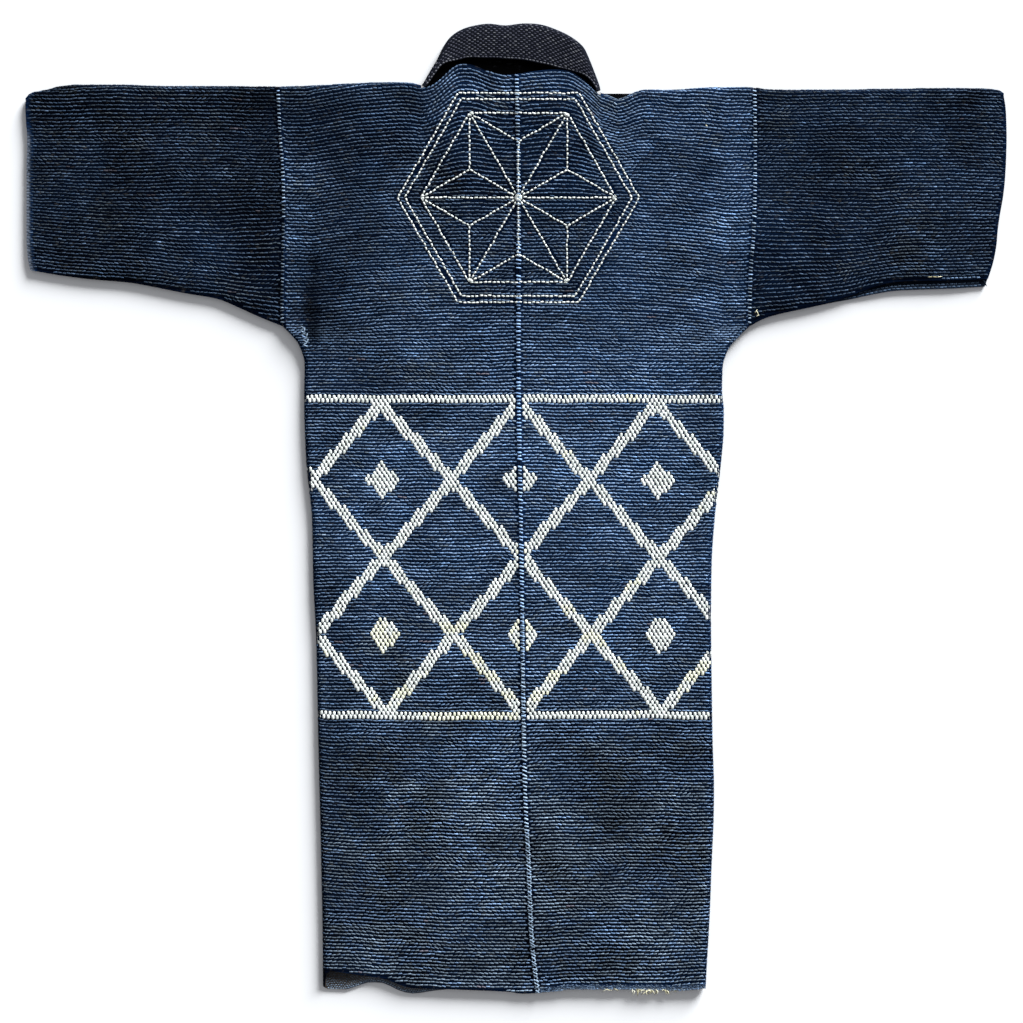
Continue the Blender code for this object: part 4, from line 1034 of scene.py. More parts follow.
def body(side):
    name = "body_left" if side < 0 else "body_right"
    half = Half(side)
    grid = half.grid()
    cells = cells_of(grid)
    normals = grid_normals(grid, cells)
    if np.nansum(normals[:half.back_rows, :, 2]) < 0:
        normals = -normals
    x, y, z = grid[:, :, 0], grid[:, :, 1], grid[:, :, 2]
    ground = soft((-normals[:, :, 2] - 0.6) / 0.35)
    skin = SKIN + (SKIN_GROUND - SKIN) * ground
    surface = grid + normals * skin[:, :, None]
    ref_row = 143
    reach = column_reach(surface, ref_row, y[ref_row])
    n = len(half.neck)
    low_off = curve(HEM_BACK, x[0]) + 600.0
    slow_off = 7.0 * soft((-60.0 - x[0]) / 190.0) - 2.0
    # at the left fold the rows rise before they go round it
    from_fold = np.maximum(0.0, (half.edge(y[ref_row]) - x[ref_row]) * side)
    from_fold[n + len(half.share) + len(half.inset):] = 0.0
    rise = 0.5 * np.exp(-from_fold / 8.0) + 0.5 * np.exp(-from_fold / 34.0) if side < 0 else np.zeros(len(from_fold))
    top_at = half.back_rows - 1
    top_off = curve(half.top, x[top_at]) - FOLD_OUT - 520.25
    top_off[:n - 1] = curve(NECK, x[top_at, :n - 1]) - 520.25

    def offset(at, xs):
        near_neck = 0.48 * soft((at - 380.0) / 142.0) + 0.48 * np.clip((at - 370.0) / 150.0, 0.0, 1.0)
        follow = np.where(np.arange(len(top_off)) < n - 1, near_neck, soft((at - 400.0) / 120.0))
        lifted = rise * 4.2 * soft((-160.0 - at) / 160.0) * (1 - 0.8 * soft((-420.0 - at) / 150.0))
        bent = (slow_off if side < 0 else low_off) * (1 - soft((at + 600.0) / 280.0))
        return bent + top_off * follow + lifted + wave(xs, at)

    last_row = np.nanmax(reach) + 40
    rows_at = np.arange(-603.0, last_row, ROW_PITCH)
    xs = np.where(np.isnan(x[top_at]), x[ref_row], x[top_at]) * 0.3 + x[ref_row] * 0.7
    targets = rows_at[:, None] + offset(rows_at[:, None], xs[None, :])
    targets = targets + np.cumsum(rng.normal(0, 0.055, targets.shape), axis=1) * 0.6
    # none too near the hem or the neck's edge
    lowest = reach[0] + 1.3 + 5.0 * soft((x[0] - 20.0) / 30.0)
    highest = np.nanmax(reach, axis=0) - 1.2
    targets = np.where((targets < lowest) | (targets > highest), np.nan, targets)
    safe = np.where(np.isnan(targets), -1e6, targets)

    phase = (reach - offset(reach, x) - rows_at[0]) / ROW_PITCH
    level = fade_and_painted_light_at(x, y, BODY_LEVEL)
    back = normals[:, :, 2] > -0.2
    blue = 0.30 + 0.70 * soft((y + 330.0) / 330.0) + (0.25 * soft((x - 40.0) / 90.0) if side > 0 else -0.20) * soft(y / 200.0)
    tone = np.where(back, np.clip(level * 4.4 * blue, 0, 1), 0.35)
    # the right half's hem is a plain blue strip, pale along its edge
    above = reach - reach[0]
    plain = soft((x - 20.0) / 30.0)
    tone = np.maximum(tone, plain * 1.95 * soft((6.4 - above) / 1.2))
    tone = np.maximum(tone, plain * 2.7 * soft((1.9 - above) / 0.8))
    # and the fronts' hem is pale, on its inside
    to_hem = np.nanmax(reach, axis=0) - reach
    tone = np.where(back, tone, np.maximum(tone, 2.5 * soft((7.0 - to_hem) / 5.0)))
    wall = shell(name + "_cloth", grid, cells, normals, skin, SKIN, [indigo, lining], tone, phase)
    finish_piece(wall, name)

    def centre_s(p):
        return abs(p[0] - float(half.centre(p[1])))

    found = stitch_rows(lay_rows(grid, skin, normals, reach, safe, (4.3, 2.0), centre_s), FOUR)
    middle = (found["p"][:, 1] + found["p"][:, 2]) / 2
    mx, my, mz = middle[:, 0], middle[:, 1], middle[:, 2]
    mn = found["n"][:, 1]
    is_back = mn[:, 2] > -0.35
    # the armhole seam is bare, and so is the front's strip by the collar
    near_arm = (np.abs(mx - curve(half.arm, my)) < 3.4) & (my > ARMHOLE_END)
    fold_x = curve(half.fold, my)
    unrolled = np.where(is_back, np.abs(mx - half.centre(my)) + np.where(mz < 4.75, 2 * np.abs(fold_x - mx), 0.0),
                        np.abs(fold_x - half.centre(my)) + np.abs(fold_x - mx) + 3.0)
    white = in_lattice(unrolled, np.where(is_back, rows_at[found["row"]], my))
    on_motif = is_back & (from_motif(mx, my) < 2.1)
    keep = ~near_arm & ~on_motif
    base = fade_and_painted_light_at(mx, my, BODY_LEVEL) * np.where(is_back, 1.0, 0.8)
    hemward = soft((-180.0 - my) / 260.0)
    # painted highlight: towards the right fold, which faces the light, the threads are painted brighter, and bluer
    painted_highlight_at_right_fold = soft((12.0 - np.abs(fold_x - mx)) / 8.0) * soft((170.0 - my) / 30.0) if side > 0 else 0.0
    base = base * (1 + 0.35 * painted_highlight_at_right_fold)
    level = base * np.exp(rng.normal(0, 0.17, len(base)) + 0.11 * patches(mx, my, 13, 4.2, 6))
    grey = -0.4 * painted_highlight_at_right_fold + 0.42 + 0.40 * hemward + 0.13 * patches(mx, my, 42, 26, 4) + 0.11 * patches(mx, my, 15, 7, 7)
    level = np.where(rng.random(len(base)) < 0.02, level * 1.5, level)
    shade = shade_of(level, grey, patches(mx, my, 26, 6, 5))
    width = np.clip(rng.normal(2.05, 0.16, len(base)), 1.5, 2.6)
    high = np.clip(rng.normal(0.64, 0.09, len(base)), 0.40, 0.95)
    for label, part in (("low", is_back & (my < -120)), ("high", is_back & (my >= -120))):
        use = keep & ~white & part
        finish_piece(thread_mesh(f"{name}_quilting_{label}",
                                             threads(found["p"][use], found["n"][use], width[use], high[use]),
                                             shade[use], shades))
    use = keep & ~white & ~is_back
    finish_piece(thread_mesh(f"{name}_quilting_under",
                                         short_threads(found["p"][use][:, [0, 1, 3]] , found["n"][use][:, [0, 1, 3]],
                                                       width[use], high[use] * 0.42),
                                         shade[use], shades, SHORT_THREAD))
    # white stitches are thicker and longer, and nearly cover the cloth
    use = keep & white
    p, nn = found["p"][use], found["n"][use]
    centre = (p[:, 1] + p[:, 2])[:, None] / 2
    count = len(p)
    p = centre + (p - centre) * (np.clip(rng.normal(3.80, 0.16, count), 3.4, 4.3) / found["len"][use])[:, None, None]
    height = np.clip(rng.normal(0.40, 0.04, count), 0.3, 0.5) * np.where(nn[:, 1, 2] < -0.3, 0.6, 1.0)
    # they are whiter above, and yellowed in patches low down
    tint = rng.choice(3, count, p=[0.25, 0.5, 0.25])
    aged = patches(mx[use], my[use], 46, 12, 3) + rng.normal(0, 0.35, count) > 0.55 + 1.6 * soft((my[use] + 170.0) / 120.0)
    tint = np.where(aged, np.where(tint == 0, 3, 4), tint)
    finish_piece(thread_mesh(f"{name}_white_bands",
                                         broad_threads(p, nn, np.clip(rng.normal(4.6, 0.15, count), 4.2, 5.0), height),
                                         tint, whites, BROAD_THREAD))
    seam_lines[name] = (surface, normals, half)
    lengths = (round(float(np.nanmax(reach) - np.nanmin(reach)) * MM, 3))
    print(name, "stitches", len(found["s"]), "length", lengths)
    return half, grid, surface, normals


def sleeve(side):
    left = side < 0
    name = "sleeve_left" if left else "sleeve_right"
    arm = ARM_LEFT if left else ARM_RIGHT
    cuff = CUFF_LEFT if left else CUFF_RIGHT
    top = TOP_LEFT if left else TOP_RIGHT
    bottom = BOTTOM_LEFT if left else BOTTOM_RIGHT
    grid = sleeve_grid(side)
    cells = cells_of(grid)
    normals = grid_normals(grid, cells)
    if normals[:60, :, 2].sum() < 0:
        normals = -normals
    x, y, z = grid[:, :, 0], grid[:, :, 1], grid[:, :, 2]
    ground = soft((-normals[:, :, 2] - 0.6) / 0.35)
    skin = SKIN + (SKIN_GROUND - SKIN) * ground
    surface = grid + normals * skin[:, :, None]
    reach = column_reach(surface, 0, 0.0) + y[0]
    base_level = LEFT_SLEEVE_LEVEL if left else RIGHT_SLEEVE_LEVEL

    def offset(at, xs, low):
        follow = 0.62 * (low - 286.0) * (1 - soft((at - low) / 150.0))
        topped = (curve(top, np.clip(xs, -560.0, 588.0)) - 527.0) * soft((at - 480.0) / 45.0)
        return follow + topped + wave(xs + 900.0, at)

    rows_at = np.arange(150.0, np.nanmax(reach) + 30, ROW_PITCH)
    xs = x[40][None, :]
    low = curve(bottom, x[0], 2)[None, :]
    targets = rows_at[:, None] + offset(rows_at[:, None], xs, low)
    targets = targets + np.cumsum(rng.normal(0, 0.055, targets.shape), axis=1) * 0.6
    highest = reach[-1] - 2.5
    targets = np.where((targets < reach[0] + 2.4) | (targets > highest), -1e6, targets)
    phase = (reach - offset(reach, x, low) - rows_at[0]) / ROW_PITCH
    level = fade_and_painted_light_at(x, y, base_level)
    tone = np.clip(level * (2.0 if left else 4.6), 0, 1)
    from_cuff = np.abs(x - curve(cuff, y))
    worn = soft((490.0 - y) / 30.0) if left else 0.0
    tone = np.maximum(tone, (0.7 + 2.1 * worn) * soft((8.2 - from_cuff) / 5.2) if left else 0.5 * soft((5.8 - from_cuff) / 2.0))
    if not left:
        # the under layer's worn edge, which stands out below
        edge = (reach[-1] - reach < 2.2) & (x > 395)
        tone = np.where(edge, 1.6, tone)
    wall = shell(name + "_cloth", grid, cells, normals, skin, SKIN, [indigo, indigo_inside], tone, phase)
    finish_piece(wall, name)

    def arm_s(p):
        return abs(p[0] - float(curve(arm, p[1])))

    found = stitch_rows(lay_rows(grid, skin, normals, reach, targets, (3.6, 4.0), arm_s), FOUR)
    middle = (found["p"][:, 1] + found["p"][:, 2]) / 2
    mx, my = middle[:, 0], middle[:, 1]
    is_up = found["n"][:, 1][:, 2] > -0.35
    base = fade_and_painted_light_at(mx, my, base_level)
    level = base * np.exp(rng.normal(0, 0.26, len(base)))
    level = np.where(rng.random(len(base)) < 0.025, level * 1.8, level)
    grey = (0.54 if left else 0.46) + 0.13 * patches(mx, my, 42, 26, 4) + 0.11 * patches(mx, my, 15, 7, 7)
    shade = shade_of(level, grey, patches(mx, my, 26, 6, 5))
    width = np.clip(rng.normal(1.95, 0.17, len(base)), 1.4, 2.5)
    high = np.clip(rng.normal(0.66, 0.09, len(base)), 0.40, 0.95)
    made = [finish_piece(thread_mesh(name + "_quilting", threads(found["p"][is_up], found["n"][is_up], width[is_up], high[is_up]),
                                     shade[is_up], shades))]
    under = ~is_up
    made.append(finish_piece(thread_mesh(name + "_quilting_under",
                                         short_threads(found["p"][under][:, [0, 1, 3]], found["n"][under][:, [0, 1, 3]],
                                                       width[under], high[under] * 0.55),
                                         shade[under], shades, SHORT_THREAD)))
    print(name, "stitches", len(found["s"]))
    return grid, surface, normals


def bars(line, normals, pitch, length, width, height, slant, level, spread=0.25, grey=0.55):
    """Whip stitches across a seam whose line is (points, 3)."""
    step = np.linalg.norm(np.diff(line, axis=0), axis=1)
    s = np.concatenate([[0], np.cumsum(step)])
    at = np.arange(pitch / 2, s[-1], pitch)
    at = at + rng.normal(0, pitch * 0.08, len(at))
    p = np.stack([np.interp(at, s, line[:, c]) for c in range(3)], axis=1)
    n = unit(np.stack([np.interp(at, s, normals[:, c]) for c in range(3)], axis=1))
    ahead = np.stack([np.interp(at + 1.5, s, line[:, c]) for c in range(3)], axis=1)
    behind = np.stack([np.interp(at - 1.5, s, line[:, c]) for c in range(3)], axis=1)
    tangent = unit(ahead - behind)
    across = unit(np.cross(n, tangent))
    lean = slant + rng.normal(0, 0.12, len(at))
    way = unit(across + tangent * lean[:, None])
    size = length * np.clip(rng.normal(1, 0.13, len(at)), 0.7, 1.3)
    arch = np.array([-0.55, 0.0, 0.0, -0.55])
    points = p[:, None] + way[:, None] * (size[:, None] * np.array([-0.5, -0.32, 0.32, 0.5])[None, :])[:, :, None]
    points = points + n[:, None] * arch[None, :, None]
    nn = np.repeat(n[:, None], 4, axis=1)
    lit = level * np.exp(rng.normal(0, spread, len(at)))
    return threads(points, nn, np.clip(rng.normal(width, 0.2, len(at)), 1.0, 3.0),
                   np.full(len(at), height)), shade_of(lit, np.full(len(at), grey))


left_half, left_grid, left_surface, left_normals = body(-1)
right_half, right_grid, right_surface, right_normals = body(1)
sleeve_left = sleeve(-1)
sleeve_right = sleeve(1)

# ---------------------------------------------------------------- seams
# the centre-back seam, on both halves
rows_back = left_half.back_rows
middle = (left_surface[:rows_back, 0] + right_surface[:rows_back, 0]) / 2
up = np.tile(np.array((0.0, 0.0, 1.0)), (len(middle), 1))
parts, tints = [], []
for low, high, slant, level, width, grey in (
        (-606, -400, 0.75, 0.29, 1.7, 1.0), (-606, -400, -0.65, 0.21, 1.6, 0.9), (-404, -190, 0.35, 0.38, 2.2, 0.9),
        (-300, -120, -0.5, 0.22, 1.7, 0.9), (-190, 60, 0.28, 0.38, 2.2, 0.55), (60, 170, 0.05, 0.42, 2.3, 0.2),
        (170, 300, 0.02, 0.31, 2.2, 0.5), (300, 560, 0.10, 0.30, 2.1, 0.8)):
    part = middle[(middle[:, 1] >= low) & (middle[:, 1] < high)]
    if len(part) > 2:
        v, t = bars(part, up[:len(part)], 4.6, 8.2 if high < -350 else 6.6, width, 0.85, slant, level, 0.3, grey)
        parts.append(v)
        tints.append(t)
centre_seam = finish_piece(thread_mesh("centre_seam_stitching", np.concatenate(parts), np.concatenate(tints), shades))

# the armhole seams
for name, half_surface, half, sleeve_data, table, levels in (
        ("left", left_surface, left_half, sleeve_left, ARM_LEFT, (0.10, 0.23)),
        ("right", right_surface, right_half, sleeve_right, ARM_RIGHT, (0.20, 0.38))):
    top = curve(half.top, curve(table, 520.0)) - FOLD_OUT
    ys = np.arange(ARMHOLE_END + 3.0, float(top) + 1.0, 2.0)
    xs = curve(table, ys)
    zs = half.upper(xs - half.side * 0.3, ys) + SKIN
    line = np.stack([xs, ys, zs], axis=1)
    parts, tints = [], []
    for low, high, level in ((0, 0.45, levels[0]), (0.45, 1.0, levels[1])):
        a, b = int(low * len(line)), max(3, int(high * len(line)))
        v, t = bars(line[a:b], np.tile((0.0, 0.0, 1.0), (b - a, 1)), 4.6, 5.2 if name == "left" else 5.9, 1.8, 0.65, 0.08, level,
                    0.4, 0.85)
        parts.append(v)
        tints.append(t)
    finish_piece(thread_mesh(f"armhole_stitching_{name}", np.concatenate(parts), np.concatenate(tints), shades))

# ---------------------------------------------------------------- small threads
def loose(paths, width, height, name, materials, tints):
    """Short threads along given (threads, 4, 3) points that face up."""
    paths = np.array(paths, float)
    facing = np.tile((0.0, 0.0, 1.0), (len(paths), 4, 1))
    size = np.full(len(paths), 1.0)
    return finish_piece(thread_mesh(name, threads(paths, facing, size * width, size * height), tints, materials))


# rows of fine stitches on the inside of the fronts' hem, where it shows below the left half's back
paths, tints = [], []
for k in range(13):
    xs = np.arange(-237.0 + 1.4 * (k % 2), -96.0, 3.1)
    ys = curve(HEM_FRONT, xs) + 2.0 + 2.2 * k
    for x0, y0 in zip(xs, ys):
        if y0 > float(curve(HEM_BACK, x0)) + 5.0 or x0 < -238.5 + 1.1 * max(0, 2 - k):
            continue
        at = x0 + rng.normal(0, 0.2) + 2.4 * FOUR
        y4 = curve(HEM_FRONT, at) + 2.0 + 2.2 * k + rng.normal(0, 0.12)
        paths.append(np.stack([at, y4, np.full(4, GROUND_MID + SKIN)], axis=1))
        tints.append(0.060 + 0.26 * math.exp(-k / 2.6))
tints = shade_of(np.array(tints) * np.exp(rng.normal(0, 0.2, len(tints))), np.full(len(tints), 1.0))
loose(paths, 1.35, 0.4, "hem_inside_stitching", shades, tints)

# the nap of the worn strip along the right half's hem
paths, tints = [], []
for k in range(560):
    x0 = rng.uniform(30.0, 236.0)
    up_by = rng.uniform(0.2, 1.4) if k < 150 else rng.uniform(0.6, 6.2)
    turn, size = rng.normal(0, 0.55), rng.uniform(1.6, 3.6)
    t = size * FOUR
    xs, ys = x0 + math.cos(turn) * t, float(curve(HEM_BACK, x0)) + up_by + math.sin(turn) * t
    paths.append(np.stack([xs, ys, right_half.upper(xs, ys) + SKIN - 0.02 * np.abs(t)], axis=1))
    tints.append(0.20 if k < 150 else 0.11)
loose(paths, 0.9, 0.35, "hem_nap", shades,
      shade_of(np.array(tints) * np.exp(rng.normal(0, 0.45, len(tints))), np.full(len(tints), 0.7)))

# frayed ends of undyed thread at the hem, the right armpit and the right cuff
paths = []
for k in range(34):
    x0 = 166.0 + 12.0 * rng.normal() if k < 24 else rng.uniform(110, 200)
    y0 = float(curve(HEM_BACK, x0)) + 1.5
    drop, drift, bend = rng.uniform(3.0, 11.0) if k < 24 else rng.uniform(2.0, 5.0), rng.normal(0, 4.0), rng.normal(0, 2.0)
    t = np.array((0.0, 0.35, 0.7, 1.0))
    paths.append(np.stack([x0 + drift * t + bend * np.sin(t * 4.0), y0 - drop * t, 8.3 - 1.3 * t ** 1.5], axis=1))
for x0, y0, x1, y1, z0 in ((298.5, 245.5, 302.0, 250.5, 9.4), (303.5, 243.5, 300.5, 249.5, 9.3), (300.0, 241.5, 304.5, 244.0, 9.2),
                           (514.0, 290.6, 521.0, 291.2, 8.8), (520.0, 291.4, 527.0, 290.6, 8.8), (525.5, 290.8, 533.0, 291.6, 8.8),
                           (237.0, 480.8, 239.8, 478.4, 9.9)):
    t = np.array((0.0, 0.3, 0.7, 1.0))
    paths.append(np.stack([x0 + (x1 - x0) * t, y0 + (y1 - y0) * t, z0 - 0.5 * np.abs(2 * t - 1)], axis=1))
loose(paths, 1.15, 0.55, "frayed_threads", frayed, rng.choice(3, len(paths), p=[0.3, 0.45, 0.25]))

# whip stitches that mend the left armpit
paths, tints = [], []
for k, y0 in enumerate(np.arange(205.0, 229.0, 2.9)):
    x0 = -261.5 - 5.0 * soft((y0 - 205.0) / 22.0) + rng.normal(0, 0.4)
    lean = 1.5 if k % 2 else -1.3
    t = np.array((-0.5, -0.3, 0.3, 0.5))
    xs, ys = x0 + 6.4 * t, y0 + lean * 2.4 * t
    paths.append(np.stack([xs, ys, left_half.upper(xs, ys) + SKIN + 0.25], axis=1))
    tints.append(0.27)
for k, (x0, y0) in enumerate(((-259.5, 211.0), (-260.5, 218.0), (-263.5, 224.5))):
    t = np.array((-0.5, -0.3, 0.3, 0.5))
    xs, ys = x0 + 1.2 * t, y0 + 6.0 * t
    paths.append(np.stack([xs, ys, left_half.upper(xs, ys) + SKIN + 0.5], axis=1))
    tints.append(0.30)
loose(paths, 1.5, 0.6, "mending_stitches", shades,
      shade_of(np.array(tints) * np.exp(rng.normal(0, 0.15, len(tints))), np.full(len(tints), 0.9)))

# rows on the right sleeve's under layer, where it stands out below the upper one
paths, tints = [], []
for k, up_by in enumerate((1.9, 5.4)):
    xs = np.arange(402.0 + 2.7 * k, 582.0, 5.4)
    for x0 in xs:
        low, high = (float(curve(BOTTOM_RIGHT, x0, c)) for c in (1, 2))
        if low + up_by > high - 1.2:
            continue
        at = x0 + rng.normal(0, 0.3) + 4.9 * FOUR
        ys = curve(BOTTOM_RIGHT, at, 1) + up_by + rng.normal(0, 0.2)
        lifted = 1.7 * soft((high - 1.2 - ys) / 9.0) * soft((at - 400.0) / 40.0) * soft((600.0 - at) / 60.0)
        paths.append(np.stack([at, ys, GROUND_MID + SKIN + lifted + 0.1], axis=1))
        tints.append(0.075)
# a paler row along the upper layer's edge, by the cuff, and a dark end of thread at the corner
sleeve_surface, sleeve_normals = sleeve_right[1].reshape(-1, 3), sleeve_right[2].reshape(-1, 3)
facing_up = np.nan_to_num(sleeve_normals[:, 2]) > 0.3
sleeve_surface = sleeve_surface[facing_up]
for x0 in np.arange(535.0, 582.0, 5.4):
    at = x0 + rng.normal(0, 0.3) + 4.7 * FOUR
    ys = curve(BOTTOM_RIGHT, at, 2) + 2.4 + rng.normal(0, 0.15)
    near = np.nanargmin(np.hypot(sleeve_surface[:, 0] - x0, sleeve_surface[:, 1] - ys[1]))
    paths.append(np.stack([at, ys, np.full(4, sleeve_surface[near, 2] + 0.15)], axis=1))
    tints.append(0.17)
paths.append(np.array(((582.5, 287.5, 5.2), (586.0, 286.0, 5.0), (587.5, 282.5, 4.4), (590.0, 279.0, 3.4))))
tints.append(0.012)
loose(paths, 1.8, 0.6, "sleeve_edge_stitching", shades,
      shade_of(np.array(tints) * np.exp(rng.normal(0, 0.25, len(tints))), np.full(len(tints), 0.5)))

# ---------------------------------------------------------------- the motif's stitches
points, nns = [], []
for (x0, y0), (x1, y1) in MOTIF:
    length = math.hypot(x1 - x0, y1 - y0)
    count = max(1, round((length - 2.0) / 5.4))
    pitch = length / count
    for k in range(count):
        size = 4.6 * rng.uniform(0.88, 1.10)
        off = rng.normal(0, 0.35) + rng.normal(0, 0.55) * np.array([-0.5, -0.4, 0.4, 0.5])
        at = (k + 0.5) * pitch + rng.normal(0, 0.25) + size * np.array([-0.5, -0.4, 0.4, 0.5])
        t = at / length
        xs, ys = x0 + (x1 - x0) * t, y0 + (y1 - y0) * t
        nx, ny = -(y1 - y0) / length, (x1 - x0) / length
        xs, ys = xs + nx * off, ys + ny * off
        half = np.where(xs < curve(CENTRE, ys), left_half.upper(xs, ys), right_half.upper(xs, ys))
        points.append(np.stack([xs, ys, half + SKIN], axis=1))
        nns.append(np.tile((0.0, 0.0, 1.0), (4, 1)))
points, nns = np.array(points), np.array(nns)
count = len(points)
finish_piece(thread_mesh("motif_stitching", threads(points, nns, rng.normal(2.5, 0.15, count), rng.normal(0.85, 0.07, count)),
                         rng.choice(3, count, p=[0.3, 0.5, 0.2]), whites))

# ---------------------------------------------------------------- the collar
grid, is_back, steps, turns, falls = collar_grid()
cells = cells_of(grid)
normals = grid_normals(grid, cells)
under = ~np.isnan(grid[:, 0, 0])
if normals[:, 1][under][:, 2].sum() > 0:
    normals = -normals
ground = soft((-normals[:, :, 2] - 0.6) / 0.35)
skin = SKIN + (SKIN_GROUND - SKIN) * ground
surface = grid + normals * skin[:, :, None]
tone = np.full(grid.shape[:2], 0.95)
# painted shade: the collar's stand, under the turned-down fall, is given the black cloth's darkest colour for its deep
# shadow; the cloth itself is black
tone[:, :steps + turns // 2 - 1] = -0.6
tone[~is_back] = 0.6
collar = shell("collar_cloth", grid, cells, normals, skin, SKIN, [black, black], tone, np.zeros(grid.shape[:2]))
finish_piece(collar, "collar")

# small grey stitches on the turned-over part, in rows along the collar
stations = np.flatnonzero(is_back)
fall = surface[stations][:, steps + turns // 2:]
fall_n = normals[stations][:, steps + turns // 2:]
dots, dot_n, dot_shade = [], [], []
step = np.linalg.norm(np.diff(fall, axis=1), axis=2)
across = np.concatenate([np.zeros((len(fall), 1)), np.cumsum(step, axis=1)], axis=1)
widths = across[:, -1]
for k in range(19):
    from_edge = 1.4 if k == 0 else 1.8 + 2.5 * k
    line, line_n = [], []
    for i in range(len(fall)):
        at = widths[i] - from_edge
        if at < 3.4:
            line.append((np.nan,) * 3)
            line_n.append((0.0, 0.0, 1.0))
            continue
        line.append([np.interp(at, across[i], fall[i, :, c]) for c in range(3)])
        line_n.append([np.interp(at, across[i], fall_n[i, :, c]) for c in range(3)])
    line, line_n = np.array(line), unit(np.array(line_n))
    good = ~np.isnan(line[:, 0])
    if good.sum() < 4:
        continue
    line, line_n = line[good], line_n[good]
    s = np.concatenate([[0], np.cumsum(np.linalg.norm(np.diff(line, axis=0), axis=1))])
    from_middle = s[np.argmin(np.abs(line[:, 0]))] + 3.4 * (k % 2)
    pitch = 4.6 if k == 0 else 6.8
    at = np.arange(from_middle - pitch * math.floor((from_middle - 1.5) / pitch), s[-1] - 1.0, pitch)
    at = at + rng.normal(0, 0.25, len(at))
    size = (3.4 if k == 0 else 3.3) * rng.uniform(0.85, 1.15, len(at))
    where = at[:, None] + size[:, None] * FOUR[None, :]
    dots.append(np.stack([np.interp(where, s, line[:, c]) for c in range(3)], axis=2))
    dot_n.append(unit(np.stack([np.interp(where, s, line_n[:, c]) for c in range(3)], axis=2)))
    weights = [0.0, 0.2, 0.8] if k == 0 else [0.25, 0.6, 0.15]
    dot_shade.append(rng.choice(3, len(at), p=weights))
dots, dot_n, dot_shade = np.concatenate(dots), np.concatenate(dot_n), np.concatenate(dot_shade)
count = len(dots)
collar_stitching = finish_piece(
    thread_mesh("collar_stitching", threads(dots, dot_n, np.clip(rng.normal(2.0, 0.14, count), 1.6, 2.4), np.full(count, 0.45)),
                dot_shade, collar_threads))

# and on the bands down the fronts, underneath
band = surface[:, :steps + 1]
points, nns, tints = [], [], []
for first, last in ((0, 132), (len(grid) - 132, len(grid))):
    part, part_n = band[first:last], normals[first:last, :steps + 1]
    for k in range(14):
        f = (2.5 + 4.2 * k) / COLLAR_BAND * steps
        j = int(f)
        line = part[:, j] * (1 - f + j) + part[:, j + 1] * (f - j)
        s = np.concatenate([[0], np.cumsum(np.linalg.norm(np.diff(line, axis=0), axis=1))])
        at = np.arange(3.0 + 2.7 * (k % 2), s[-1] - 2.0, 5.4)
        at = at + rng.normal(0, 0.25, len(at))
        where = at[:, None] + 2.3 * THREE[None, :]
        points.append(np.stack([np.interp(where, s, line[:, c]) for c in range(3)], axis=2))
        nns.append(np.tile((0.0, 0.0, -1.0), (len(at), 3, 1)))
        tints.append(rng.choice(3, len(at), p=[0.3, 0.6, 0.1]))
points, nns, tints = np.concatenate(points), np.concatenate(nns), np.concatenate(tints)
collar_under = finish_piece(
    thread_mesh("collar_stitching_under", short_threads(points, nns, np.full(len(points), 1.5), np.full(len(points), 0.40)),
                tints, collar_threads, SHORT_THREAD))
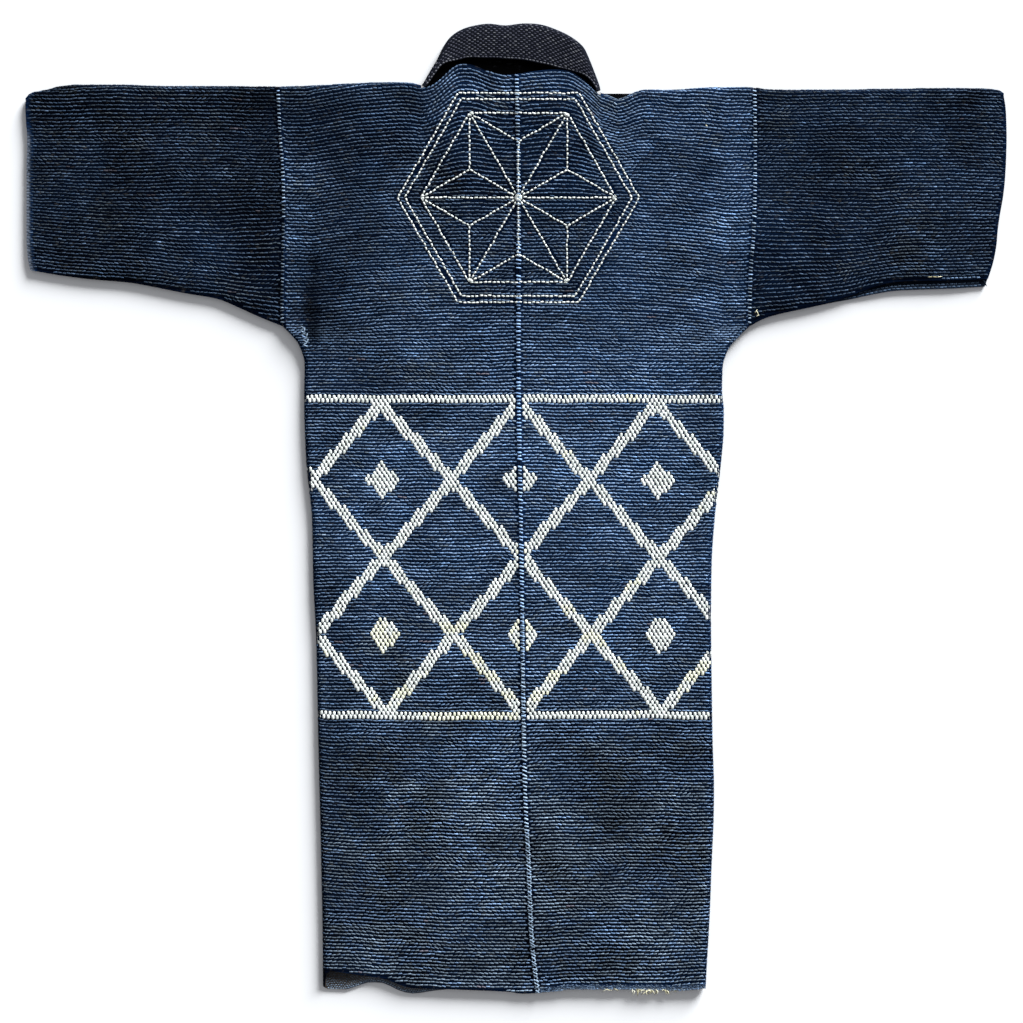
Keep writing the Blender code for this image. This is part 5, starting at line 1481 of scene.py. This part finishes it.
# past the collar's right end a dark edge of the band shows beyond the sagging shoulder
edge_x = np.linspace(105.5, 145.0, 24)
edge_rows = []
for share in np.linspace(0, 1, 5):
    low = curve(right_half.top, edge_x) + 0.5
    edge_rows.append(np.stack([edge_x, low * (1 - share) + np.maximum(520.9, low + 0.4) * share,
                               np.full(len(edge_x), 1.35)], axis=1))
edge_grid = np.array(edge_rows)
edge_cells = cells_of(edge_grid)
edge_normals = np.zeros(edge_grid.shape)
edge_normals[:, :, 2] = 1.0
band_edge = shell("collar_edge", edge_grid, edge_cells, edge_normals, np.full(edge_grid.shape[:2], 0.7), 0.7, [black, black],
                  np.full(edge_grid.shape[:2], 0.2), np.zeros(edge_grid.shape[:2]))
finish_piece(band_edge)


# ---------------------------------------------------------------- the stage
def plain_material(name, colour, roughness):
    material, tree, shader = nodes_of(name)
    shader.inputs["Base Color"].default_value = (*colour, 1)
    shader.inputs["Roughness"].default_value = roughness
    shader.inputs["Specular IOR Level"].default_value = 0.1
    return material


floor_mesh = bpy.data.meshes.new("floor")
floor_mesh.from_pydata([(-6, -6, 0), (6, -6, 0), (6, 6, 0), (-6, 6, 0)], [], [(0, 1, 2, 3)])
floor_mesh.materials.append(plain_material("pale_floor", (0.86, 0.86, 0.87), 0.9))
floor = link("floor", floor_mesh)

scene = bpy.context.scene
scene.view_settings.view_transform = "Standard"
scene.view_settings.look = "None"

world = bpy.data.worlds.new("studio")
scene.world = world
world.use_nodes = True
world.node_tree.nodes["Background"].inputs["Color"].default_value = (0.94, 0.96, 1.0, 1)
world.node_tree.nodes["Background"].inputs["Strength"].default_value = 0.345

sun = bpy.data.lights.new("key", "SUN")
sun.energy = 11.0
sun.angle = math.radians(30)
sun.color = (0.975, 1.0, 1.015)
key = bpy.data.objects.new("key", sun)
scene.collection.objects.link(key)
# the light comes low from the upper right, as the shadow at the left and below shows
shines = np.array((-0.50, -0.866, 0.0)) * math.cos(math.radians(15.5)) + np.array((0, 0, -math.sin(math.radians(15.5))))
key.rotation_euler = Vector(shines).to_track_quat("-Z", "Y").to_euler()

camera = bpy.data.cameras.new("camera")
camera.lens = 85
camera.sensor_width = 36
camera.clip_end = 50
view = bpy.data.objects.new("camera", camera)
scene.collection.objects.link(view)
width_seen = 1278.75 * MM
view.location = (-5.0 * MM, -3.68 * MM, width_seen * 85 / 36 + 0.005)
view.rotation_euler = (0, 0, 0)
scene.camera = view

total = 0
for piece in pieces:
    piece.data.calc_loop_triangles()
    count = len(piece.data.loop_triangles)
    total += count
    print(f"{piece.name}: {count} triangles")
print("total", total)
